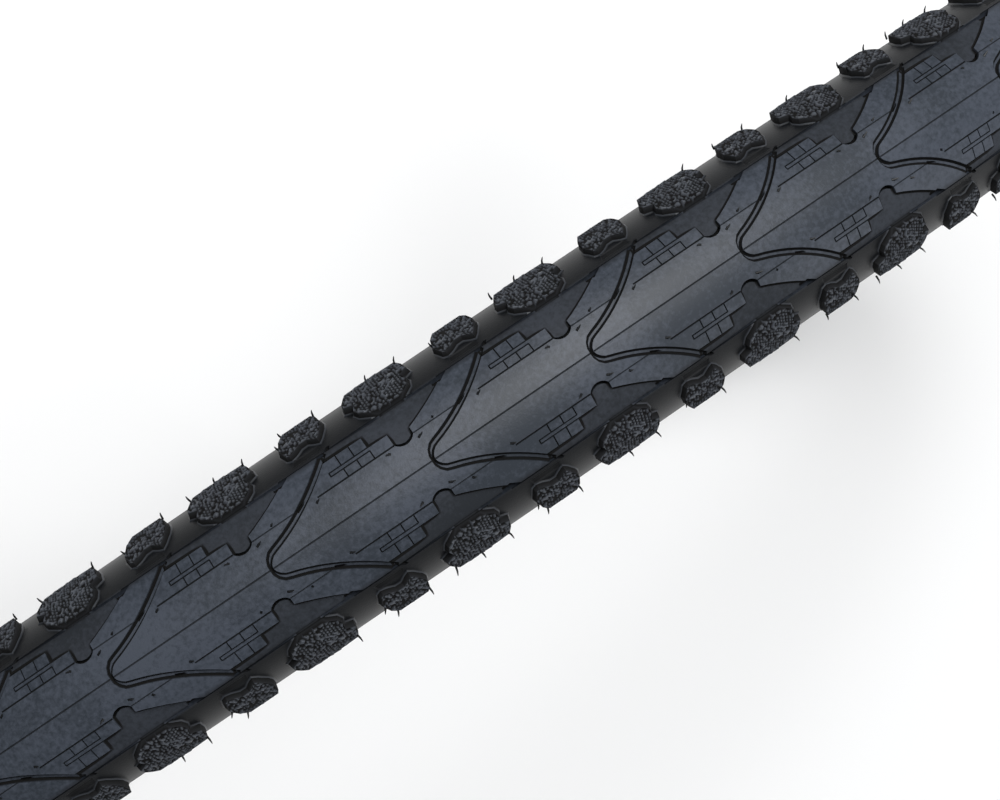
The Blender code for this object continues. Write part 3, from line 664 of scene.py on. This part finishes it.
def crownShapes():
    line, size = crownPattern["lineOffset"], crownPattern
    shoulder = tyreSize["shoulderLine"]
    shapes = [
        sunkLine([(-4, 0), (pitch + 4, 0)], 0.17, 0.3, repeats=False, creaseShade=0.7),
        sunkLine([(14.5, line), (31.9, line)], 0.17, 0.25),
        sunkLine([(36.3, line), (pitch + 9.6, line)], 0.14, 0.2, creaseShade=0.7),
    ]
    path = channelPath()
    half = np.interp([p[1] for p in path], [0.0, 2.4], [0.4, size["grooveHalfWidth"]])
    deep = size["grooveDepth"]
    # Painted shade darkens the channel's walls fully and its middle only a little
    shapes.append(relief(closedOutline(strip(path, half), 2.2), [
        (0.0, 0.0, 0.0), (0.06, -0.6 * deep, 1.0), (0.42, -deep, 1.0), (0.53, -0.8 * deep, 0.1)]))
    # The pit where the channel crosses the line
    crossing = [(9.9, 6.1), (11.6, 6.9), (12.2, 7.5), (11.0, 7.3), (9.7, 6.7)]
    shapes.append(pit(crossing, deep + 0.5))
    # The sunk panel: level with the crown at its bricks, deepest at the hook and the slanting edge
    panel = [(18.9, shoulder + 1), (18.9, 11.25), (27.6, 11.25), (27.6, 8.95), (31.9, 8.95)]
    panel += hookArc()
    panel += [(36.3, 7.7), (38, 8.3), (40, 9.1), (42, 9.95), (44, 10.9), (46, 11.9), (47.8, 12.8)]
    panel += [(48.6, shoulder + 1)]
    ramp = lambda u, v: np.interp(u, [18.9, 24.0, 31.0, 40.0], [0.12, 0.35, 0.85, 1.0])
    sunk = -size["panelDepth"]
    # Painted shade darkens the panel's walls fully and its floor by half
    shapes.append(relief(closedOutline(panel, 2.2), [
        (0.0, 0.0, 0.0), (0.06, sunk, 1.0), (0.5, sunk, 1.0), (0.62, sunk, 0.5)], ramp))
    crescent = hookArc() + [(36.0, 6.7), (35.0, 6.15), (34.1, 5.95), (33.2, 6.15), (32.2, 6.7)]
    shapes.append(pit(crescent, 1.6))
    wedge = [(44.6, 12.1), (46.3, 11.7), (48.3, 12.75), (48.3, 13.6), (44.6, 13.6)]
    shapes.append(pit(wedge, 1.3))
    for around, axial, length, run in size["vents"]:
        reach = 0.35 * length * run
        shapes.append(sunkLine([(around - reach, axial - 0.15), (around + reach, axial + 0.2)], 0.24, 0.3))
    return shapes + brickLines()


def brickLines():
    half, depth = crownPattern["brickHalfWidth"], crownPattern["brickDepth"]
    line = crownPattern["lineOffset"]
    paths = []
    for u in (21.6, 24.6, 27.6):
        paths += [[(u, line), (u, 8.25)], [(u, 8.9), (u, 11.25)]]
    paths += [[(18.8, v), (27.6, v)] for v in (8.2, 8.95)]
    paths += [[(18.8, 8.1), (18.8, 9.05)], [(27.6, 8.95), (31.9, 8.95)], [(18.8, 11.25), (27.6, 11.25)]]
    return [sunkLine(path, half, depth) for path in paths]


shoulderPattern = {
    "largeHeight": (1.0, 1.8),  # knob height at its inner and at its outer edge
    "largeAngles": (43, 76),
    "smallHeight": (1.1, 2.0),
    "smallAngles": (56, 80),
    "draft": 0.28,
    "lip": 0.18,  # the fillet that stands round a knob's foot
    "beads": {"step": 0.46, "shake": 0.14, "odd": 0.16, "margin": 0.12, "crest": 0.22, "dip": 0.2},
}


def knobHeight(size, angles, along):
    return np.interp(np.degrees(np.asarray(along) / skinScale), angles, size)


def fromTop(points, size, angles):
    # Places over the skin for the axial places that a knob's top edge has
    placed = []
    for u, axial in points:
        along = 0.0
        for _ in range(12):
            reach = tyreSize["skinHalfWidth"] + knobHeight(size, angles, along)
            along = skinScale * math.asin(min(0.999, axial / reach))
        placed.append((u, along))
    return placed


def knobShape(points, size, angles):
    outline = closedOutline(fromTop(points, size, angles), 2.2)
    lip, draft = shoulderPattern["lip"], shoulderPattern["draft"]
    outer = inset(outline, -0.45)
    # Painted shade: none on the lip, full at the wall's foot, nine tenths up the wall and over the top, where
    # only the bead crests escape it
    profile = [(0.0, 0.0, 0.0), (0.3, lip, 0.0), (0.42, lip, 1.0), (0.45 + draft, 1.0, 0.9)]
    scale = lambda u, v: knobHeight(size, angles, v)
    return relief(outer, profile, scale, studs=shoulderPattern["beads"])


def shoulderShapes():
    start = shoulderStart
    large = [(-7, 15.2), (-5, 14), (-3, 13.3), (-1, 13.0), (1, 13.2), (3, 13.9), (4.6, 14.8), (5.1, 16.0),
             (4.6, 17.1), (6.5, 17.6), (6.3, 18.9), (5.4, 20.1), (-1, 20.2), (-7, 20.1), (-8.8, 18.6),
             (-8.9, 17.7), (-7.0, 17.2), (-7.6, 16.2)]
    small = [(13.3, 16.0), (14.2, 15.7), (15.5, 16.0), (17, 16.6), (18.5, 16.6), (19.8, 15.9),
             (20.6, 15.6), (21.5, 16.2), (22.8, 17.6), (23.2, 18.5), (22.9, 19.8), (22.0, 20.55),
             (14.9, 20.55), (13.3, 19.5), (12.5, 17.8)]
    shapes = [
        knobShape(large, shoulderPattern["largeHeight"], shoulderPattern["largeAngles"]),
        knobShape(small, shoulderPattern["smallHeight"], shoulderPattern["smallAngles"]),
    ]
    seam = [(-4, start), (pitch + 4, start), (pitch + 4, start + 0.32), (-4, start + 0.32)]
    shapes.append(pit(seam, 0.3, 2.4, 0.05, repeats=False))
    # A shallow pad, its floor given a little painted shade
    pad = [(13.5, start + 1.1), (20.5, start + 1.1), (20.0, start + 2.9), (14.0, start + 2.9)]
    shapes.append(pit(pad, 0.15, 2.4, 0.3, 0.35))
    notch = [(18.9, start - 0.6), (20.9, start - 0.6), (21.9, start + 0.9), (21.2, start + 1.0)]
    shapes.append(pit(notch, 0.6, 2.4))
    rim = shoulderEnd - 0.9
    edge = [(-4, rim), (pitch + 4, rim), (pitch + 4, rim + 0.3), (-4, rim + 0.3)]
    shapes.append(pit(edge, 0.15, 2.4, 0.1, 0.8, repeats=False))
    return shapes


def bedLine(degreesList):
    # Under the tread: over the belt's edge, then close on the casing
    return [onCasing(float(np.interp(a, [49.5, 53.0], [17.9, 17.05])), a) for a in degreesList]


def makeTread():
    size = tyreSize
    edgeX, edgeR = onCrown(size["shoulderLine"], 0.0)
    edgeAngle = math.degrees(math.atan2(edgeX, edgeR - size["sectionCentre"]))
    crownBed = bedLine(np.linspace(0, edgeAngle, 6))
    skirtX, skirtR = onSkin(shoulderEnd, 0.0)
    skirtBedAngle = math.degrees(math.atan2(skirtX, skirtR - size["sectionCentre"]))
    shoulderBed = bedLine([edgeAngle, 49.5, 53.0, 60.0, 68.0, 75.0, skirtBedAngle])
    crown, shoulder = crownShapes(), shoulderShapes()
    bands = []
    for end, side in (("left", -1), ("right", 1)):
        bands.append(repeated("tread_crown_" + end, pitchMesh(
            "crown", crown, 0.0, size["shoulderLine"], onCrown, crownBed, side),
            mouldedTreadRubber, size["pitches"]))
        bands.append(repeated("tread_shoulder_" + end, pitchMesh(
            "shoulder", shoulder, shoulderStart, shoulderEnd, onSkin, shoulderBed, side, begin=9.6),
            mouldedTreadRubber, size["pitches"]))
    for band in bands:
        finishPiece(band, "tyre", "tread", 24)


makeTread()


def sproutMesh(name, places, reach, sides=5):
    # Slender tapered pips, one for each (around, axial, radial, out, lean, thickness) in places
    vertices, faces = [], []
    for around, axial, radial, direction, length, width in places:
        foot = wheelPoints([around], axial, radial)[0]
        turn = around / tyreSize["crownRadius"]
        run = Vector((math.cos(turn), 0, -math.sin(turn)))
        out = Vector((math.sin(turn), 0, math.cos(turn)))
        aim = (run * direction[0] + Vector((0, direction[1], 0)) + out * direction[2]).normalized()
        across = aim.orthogonal().normalized()
        third = aim.cross(across)
        first = len(vertices)
        for level, share in ((-0.25, 1.0), (0.45, 0.8), (0.85, 0.5), (1.0, 0.12)):
            sag = across * length * reach * max(0.0, level) ** 2
            for k in range(sides):
                angle = 2 * math.pi * k / sides
                ring = (across * math.cos(angle) + third * math.sin(angle)) * width * share
                vertices.append(Vector(foot) + (aim * level * length + sag + ring) * mm)
        for level in range(3):
            for k in range(sides):
                low = first + level * sides
                faces.append((low + k, low + (k + 1) % sides, low + sides + (k + 1) % sides, low + sides + k))
        faces.append(tuple(first + 3 * sides + k for k in range(sides)))
        faces.append(tuple(first + k for k in reversed(range(sides))))
    return newMesh(name, vertices, faces)


sprouts = {
    # Spew hairs at the knobs' outer corners: (around, along the skin, height, run, length)
    "hairs": [(-7.6, 25.4, 1.6, -0.25, 1.5), (-1.5, 25.8, 1.8, 0.2, 1.3), (5.2, 25.3, 1.6, 0.3, 1.6),
              (14.6, 26.2, 1.8, -0.35, 1.2), (22.4, 26.0, 1.8, 0.15, 1.4), (13.0, 22.0, 1.2, -0.5, 1.3)],
    "hairWidth": 0.24,
    "pipWidth": 0.22,
}


def makeSprouts():
    for end, side in (("left", -1), ("right", 1)):
        hairs = []
        for around, along, height, run, length in sprouts["hairs"]:
            axial, radial = onSkin(along, height)
            hairs.append((around, side * float(axial), float(radial), (run, side, 0.55), length,
                          sprouts["hairWidth"]))
        pips = []
        for around, axial, length, run in crownPattern["vents"]:
            place = onCrown(axial, 0.0)
            pips.append((around, side * float(place[0]), float(place[1]), (run, 0.35 * side, 0.45), length,
                         sprouts["pipWidth"]))
        for name, places, reach, leftOut, seed in (("spew_hairs_", hairs, 0.25, 0.3, 5 + side),
                                                   ("vent_pips_", pips, 0.1, 0.25, 9 + side)):
            piece = repeated(name + end, sproutMesh(name, places, reach), blackHairRubber,
                             tyreSize["pitches"], leftOut, seed, weld=0.0)
            finishPiece(piece, "tyre")


makeSprouts()


def ringMesh(name, loops, steps):
    # Closed (axial, radial) loops swept round the axle, the first an outside and the rest hollows
    vertices, faces = [], []
    for number, loop in enumerate(loops):
        clockwise = loop if turnedArea(loop) < 0 else loop[::-1]
        points = clockwise if number == 0 else clockwise[::-1]
        first, count = len(vertices), len(points)
        for i in range(steps):
            turn = 2 * math.pi * i / steps
            vertices += [(r * math.sin(turn) * mm, y * mm, r * math.cos(turn) * mm) for y, r in points]
        for i in range(steps):
            here, there = first + i * count, first + (i + 1) % steps * count
            faces += [(here + j, there + j, there + (j + 1) % count, here + (j + 1) % count)
                      for j in range(count)]
    return newMesh(name, vertices, faces)


def ringPiece(node, loops, material, steps=240):
    piece = makeObject(node + "_ring", ringMesh(node, loops, steps))
    piece.data.materials.append(material)
    finishPiece(piece, "tyre", node, 38)
    say(f"{node}: {len(piece.data.polygons)} faces")


def flipped(points, side):
    return [(side * y, r) for y, r in points]


def roundedPath(points, radius, arcSteps=5):
    # The same path with an arc in place of each inner corner
    path = [points[0]]
    for before, corner, after in zip(points, points[1:], points[2:]):
        back = np.array(before) - corner
        on = np.array(after) - corner
        backLength, onLength = np.linalg.norm(back), np.linalg.norm(on)
        half = math.acos(max(-1.0, min(1.0, back @ on / backLength / onLength))) / 2
        run = min(radius / math.tan(half), 0.45 * backLength, 0.45 * onLength)
        start = np.array(corner) + back / backLength * run
        end = np.array(corner) + on / onLength * run
        for t in np.linspace(0, 1, arcSteps):
            path.append(tuple((1 - t) ** 2 * start + 2 * t * (1 - t) * np.array(corner) + t * t * end))
    return path + [points[-1]]


def casingArc(radius, end, count=29):
    return [onCasing(radius, a) for a in np.linspace(0, end, count)]


def bothSides(half):
    return flipped(half[::-1], -1) + half[1:]


def makeCasing():
    size = tyreSize
    ply, gap = size["ply"], size["gap"]
    coreRadius, chafer = 0.85, 0.4
    outerBead = coreRadius + gap + ply / 2  # core centre to the middle of each wrap
    innerBead = outerBead + ply + gap
    chaferBead = outerBead + ply / 2 + gap + chafer / 2
    outerRadius = size["casing"] - ply / 2
    innerRadius = outerRadius - ply - gap
    outerBox = [fromBead(-outerBead, outerBead), fromBead(-outerBead, -outerBead),
                fromBead(outerBead, -outerBead), fromBead(outerBead, 1.9)]
    outer = casingArc(outerRadius, 112) + roundedPath([onCasing(outerRadius, 113), *outerBox], 0.7)
    ringPiece("casing_ply_outer", [strip(bothSides(outer), ply / 2)], nylonCasing)
    innerBox = [fromBead(-innerBead, innerBead), fromBead(-innerBead, -0.6)]
    inner = casingArc(innerRadius, 112) + roundedPath([onCasing(innerRadius, 113), *innerBox], 0.7)
    ringPiece("casing_ply_inner", [strip(bothSides(inner), ply / 2)], nylonCasing)
    beltHalf = 0.3
    belt = casingArc(size["casing"] + gap + beltHalf, 48)
    ringPiece("puncture_belt", [strip(bothSides(belt), beltHalf)], aramidBelt)
    chaferPath = roundedPath([fromBead(-chaferBead, -0.9), fromBead(-chaferBead, -2.1),
                              fromBead(chaferBead, -2.1), fromBead(chaferBead, 2.5)], 0.6)
    core = [fromBead(coreRadius * math.sin(a), coreRadius * math.cos(a))
            for a in np.linspace(0, 2 * math.pi, 17)[:-1]]
    for end, side in (("left", -1), ("right", 1)):
        ringPiece("chafer_" + end, [flipped(strip(chaferPath, chafer / 2), side)], chaferCloth)
        ringPiece("bead_core_" + end, [flipped(core, side)], bronzedWire)
        ringPiece("sidewall_" + end, [flipped(sidewallOutline(), side)], sidewallRubber)


sidewallPattern = {
    "start": 84.4, "end": 128.0,  # skin angles in degrees
    # Moulded lines: (skin angle, half width in degrees, height in mm)
    "lines": [(88.0, 0.7, -0.16), (90.4, 0.7, -0.16), (104.0, 1.3, 0.22), (121.0, 1.6, 0.4)],
}


def sidewallOutline():
    pattern = sidewallPattern
    angles = {pattern["start"], pattern["end"], *np.arange(86.0, 128.0, 2.0)}
    for centre, half, _ in pattern["lines"]:
        angles |= {centre - half, centre - half * 0.6, centre, centre + half * 0.6, centre + half}
    skin = []
    for angle in sorted(angles):
        height = sum(h * min(1.0, max(0.0, (w - abs(angle - c)) / (0.4 * w)))
                     for c, w, h in pattern["lines"])
        axial, radial = onSkin(skinScale * math.radians(angle), height)
        skin.append((float(axial), float(radial)))
    foot = [(13.1, 316.9), (12.0, 316.25), (11.3, 316.15), (10.75, 316.6), (10.25, 317.4)]
    bed = [onCasing(tyreSize["casing"] + tyreSize["gap"] + 0.02, a)
           for a in np.linspace(112, pattern["start"], 12)]
    return skin + foot + bed


makeCasing()


tubeSize = {"outside": 14.4, "inside": 13.2, "seamHeight": 0.12, "seamFrom": 11, "seamTo": 17}


def makeTube():
    # A butyl tube, hollow, with a low moulded seam on each side of its rim line, in degrees from it
    outer, inner = [], []
    for a in np.linspace(0, 360, 57)[:-1]:
        onSeam = tubeSize["seamFrom"] < abs(a - 180) < tubeSize["seamTo"]
        outer.append(onCasing(tubeSize["outside"] + tubeSize["seamHeight"] * onSeam, a))
        inner.append(onCasing(tubeSize["inside"], a))
    ringPiece("inner_tube", [outer, inner], butylRubber)


makeTube()


def latheMesh(name, profile, steps, shape=None, closed=True):
    # A (radius, height) profile turned about the valve's line; shape can change a radius by angle
    points = profile if turnedArea(profile) > 0 else profile[::-1]
    count = len(points)
    vertices = []
    for i in range(steps):
        turn = 2 * math.pi * i / steps
        for radius, z in points:
            reach = shape(turn, radius, z) if shape else radius
            vertices.append((reach * math.cos(turn) * mm, reach * math.sin(turn) * mm, z * mm))
    faces = []
    for i in range(steps):
        here, there = i * count, (i + 1) % steps * count
        for j in range(count if closed else count - 1):
            faces.append((here + j, there + j, there + (j + 1) % count, here + (j + 1) % count))
    mesh = newMesh(name, vertices, faces)
    work = bmesh.new()
    work.from_mesh(mesh)
    bmesh.ops.remove_doubles(work, verts=work.verts, dist=0.002 * mm)
    bmesh.ops.recalc_face_normals(work, faces=work.faces)
    work.to_mesh(mesh)
    work.free()
    return mesh


def valvePiece(name, mesh, material, body, node, angle=35):
    piece = makeObject(name, mesh)
    piece.data.materials.append(material)
    finishPiece(piece, body, node, angle)
    say(f"{name}: {len(mesh.polygons)} faces")
    return piece


def spanUp(node):
    # Lowest and highest point of a CAD node
    return [corner.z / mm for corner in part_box(node)]


valveSize = {
    "lead": 0.794, "threadDepth": 0.42, "stemRadius": 3.85, "boreRadius": 4.15,
    "chamberRadius": 2.7, "airRadius": 1.5, "chamberDepth": 22.0, "footRadius": 4.35, "footHeight": 0.8,
    "capRibs": 20, "capRibDepth": 0.3, "nutFlats": 12.0, "springWire": 0.15, "springTurns": 5,
}


def threadRoot(turn, z, lead, depth):
    phase = (z / lead - turn / (2 * math.pi)) % 1.0
    return depth * min(1.0, max(0.0, 2.6 * abs(phase - 0.5) - 0.15))


def makeStem():
    low, high = spanUp("valve_stem")
    size = valveSize
    threadStart, threadEnd = low + 5.5, high - 0.7
    rows = np.arange(threadStart, threadEnd, size["lead"] / 6)
    radius, flange = size["stemRadius"], low + size["footHeight"]
    profile = [(size["airRadius"], low), (size["footRadius"], low), (size["footRadius"], flange),
               (radius, flange)]
    profile += [(radius, float(z)) for z in rows]
    profile += [(radius, threadEnd), (radius - 0.45, high), (size["chamberRadius"], high),
                (size["chamberRadius"], high - size["chamberDepth"]),
                (size["airRadius"], high - size["chamberDepth"] - 1.2)]

    def shape(turn, reach, z):
        if abs(reach - radius) > 0.01 or not threadStart < z < threadEnd:
            return reach
        return reach - threadRoot(turn, z, size["lead"], size["threadDepth"])

    valvePiece("threaded_stem", latheMesh("stem", profile, 32, shape), nickelPlate, "tyre",
               "valve_stem", 60)


def makeWasherAndNut():
    low, high = spanUp("rim_washer")
    size = valveSize
    outside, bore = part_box("rim_washer")[1].x / mm, size["boreRadius"]
    washer = roundedPath([(bore, (low + high) / 2), (bore, low), (outside, low), (outside, high),
                          (bore, high), (bore, (low + high) / 2)], 0.22, 4)[:-1]
    valvePiece("dished_washer", latheMesh("washer", washer, 64), nickelPlate, "washer",
               "rim_washer")
    low, high = spanUp("rim_nut")
    corner = size["nutFlats"] / 2 / math.cos(math.radians(30))
    levels = [(low, corner - 0.55), (low + 0.3, corner - 0.2), (low + 0.55, corner + 0.1),
              (high - 0.55, corner + 0.1), (high - 0.3, corner - 0.2), (high, corner - 0.55)]
    profile = [(bore + 0.35, low)] + [(cone, z) for z, cone in levels]
    profile += [(bore + 0.35, high), (bore, high - 0.35), (bore, low + 0.35)]

    def shape(turn, reach, z):
        if reach < bore + 0.5:
            return reach
        aside = (turn + math.radians(30)) % math.radians(60) - math.radians(30)
        return min(reach, size["nutFlats"] / 2 / math.cos(aside))

    valvePiece("hexagon_nut", latheMesh("nut", profile, 72, shape), nickelPlate, "nut",
               "rim_nut", 25)


def makeCap():
    size = valveSize
    low, high = spanUp("cap_shell")
    outside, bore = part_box("cap_shell")[1].x / mm, size["boreRadius"]
    ceiling = high - 2.2
    profile = [(0.0, high), (0.45 * outside, high - 0.05), (0.66 * outside, high - 0.3),
               (0.8 * outside, high - 0.9), (0.93 * outside, high - 1.9), (outside, high - 2.6)]
    profile += [(outside, low + 1.2), (outside, low + 1.0), (outside, low + 0.15),
                (outside - 0.15, low), (bore + 0.1, low), (bore, low + 0.2), (bore, ceiling), (0.0, ceiling)]

    def shape(turn, reach, z):
        if reach < outside - 0.3 or not low + 1.1 < z < high - 1.0:
            return reach
        groove = max(0.0, math.cos(size["capRibs"] * turn))
        return reach - size["capRibDepth"] * groove

    valvePiece("ribbed_cap", latheMesh("cap", profile, 120, shape, closed=False), capPlastic, "cap",
               "cap_shell")


def makePatch():
    low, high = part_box("valve_patch")
    halfLength, halfWidth = high.x / mm, high.y / mm
    bottom, top = low.z / mm, high.z / mm
    pocket = bottom + valveSize["footHeight"] + tyreSize["gap"]
    bore, pocketRadius = valveSize["boreRadius"], valveSize["footRadius"] + tyreSize["gap"]
    profile = [(pocketRadius, bottom), (halfWidth, bottom), (halfWidth, bottom + 0.6),
               (0.97 * halfWidth, top - 0.5), (0.9 * halfWidth, top), (bore, top), (bore, pocket),
               (pocketRadius, pocket)]
    mesh = latheMesh("patch", profile, 72)
    for vertex in mesh.vertices:
        reach = math.hypot(vertex.co.x, vertex.co.y) / mm
        spread = min(1.0, max(0.0, (reach - pocketRadius - 0.05) / (0.85 * halfWidth - pocketRadius)))
        vertex.co.x *= 1 + (halfLength / halfWidth - 1) * spread
    valvePiece("oval_patch", mesh, butylRubber, "tyre", "valve_patch")


def makeSpring():
    low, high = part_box("core_spring")
    wire, turns = valveSize["springWire"], valveSize["springTurns"]
    radius = high.x / mm - wire
    bottom, top = low.z / mm + wire, high.z / mm - wire
    curve = bpy.data.curves.new("coil", "CURVE")
    curve.dimensions = "3D"
    curve.bevel_depth = wire * mm
    curve.bevel_resolution = 2
    curve.use_fill_caps = True
    spline = curve.splines.new("POLY")
    steps = 20 * turns
    spline.points.add(steps)
    for i, point in enumerate(spline.points):
        turn = 2 * math.pi * turns * i / steps
        point.co = (radius * math.cos(turn) * mm, radius * math.sin(turn) * mm,
                    (bottom + (top - bottom) * i / steps) * mm, 1.0)
    holder = makeObject("coil_curve", curve)
    mesh = bpy.data.meshes.new_from_object(holder)
    bpy.data.objects.remove(holder)
    piece = valvePiece("wound_spring", mesh, springSteel, "tyre", "core_spring", 50)
    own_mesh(piece)


makeStem()
makeWasherAndNut()
makeCap()
makePatch()
makeSpring()


def paintCadNodes():
    # The valve core's own parts keep their shapes and take finished materials
    finishes = {
        "core_plug": turnedBrass, "core_barrel": turnedBrass, "core_pin": turnedBrass,
        "core_cup": turnedBrass, "core_seal_ring": sealPlastic, "core_seal": butylRubber,
        "cap_seal": butylRubber,
    }
    for node, material in finishes.items():
        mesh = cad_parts[node].data
        mesh.materials.clear()
        mesh.materials.append(material)


paintCadNodes()
say("valve made")


viewpoint = {
    "lens": 94.633,
    "distance": 844.07,  # from the axle
    "yaw": 3.503, "pitch": 0.269, "roll": 34.155, "round": -2.241,
}


def placeCamera():
    turn = math.radians(viewpoint["round"])
    yaw, nod, roll = (math.radians(viewpoint[k]) for k in ("yaw", "pitch", "roll"))
    out = Vector((math.sin(turn), 0, math.cos(turn)))
    along = Vector((math.cos(turn), 0, -math.sin(turn)))
    axle = Vector((0, 1, 0))
    forward = -math.cos(yaw) * math.cos(nod) * out + math.sin(yaw) * math.cos(nod) * along
    forward = (forward + math.sin(nod) * axle).normalized()
    level = (along - forward * along.dot(forward)).normalized()
    aside = forward.cross(level)
    right = level * math.cos(roll) + aside * math.sin(roll)
    up = level * math.sin(roll) - aside * math.cos(roll)
    camera = bpy.data.objects.new("camera", bpy.data.cameras.new("camera"))
    camera.data.lens = viewpoint["lens"]
    camera.data.sensor_width = 36
    camera.data.clip_start = 0.01
    camera.matrix_world = Matrix.Translation(out * viewpoint["distance"] * mm) @ Matrix(
        (right, up, -forward)).transposed().to_4x4()
    bpy.context.scene.collection.objects.link(camera)
    bpy.context.scene.camera = camera


def areaLight(name, place, target, size, energy):
    data = bpy.data.lights.new(name, "AREA")
    data.shape = "DISK"
    data.size = size
    data.energy = energy
    lamp = bpy.data.objects.new(name, data)
    lamp.location = place
    lamp.rotation_euler = (Vector(target) - Vector(place)).to_track_quat("-Z", "Y").to_euler()
    bpy.context.scene.collection.objects.link(lamp)


def makeStudio():
    floorSize, floorHeight = 14.0, cadLow.z - 0.0004
    half = floorSize / 2
    corners = [(x * half, y * half, floorHeight) for x, y in ((-1, -1), (1, -1), (1, 1), (-1, 1))]
    mesh = newMesh("floor", corners, [(0, 1, 2, 3)])
    board = newMaterial("matt_white_board", **{"Roughness": 0.9, "Base Color": hexColour("#F2F2F2")})
    mesh.materials.append(board[0])
    floor = makeObject("floor", mesh)
    world = bpy.data.worlds.new("studio")
    world.use_nodes = True
    background = world.node_tree.nodes["Background"]
    background.inputs["Color"].default_value = hexColour("#F4F6F8")
    background.inputs["Strength"].default_value = 0.32
    bpy.context.scene.world = world
    bpy.context.scene.view_settings.view_transform = "Standard"
    areaLight("overhead_softbox", (0.75, 0.45, 2.5), (0, 0, 0.2), 2.0, 66)
    areaLight("key_window", (0.95, 0.6, 2.4), (0, 0, 0.3), 0.5, 15)
    areaLight("side_fill", (1.8, -2.2, 1.6), (0, 0, 0.1), 1.6, 22)


placeCamera()
makeStudio()
say("camera, floor and light placed")
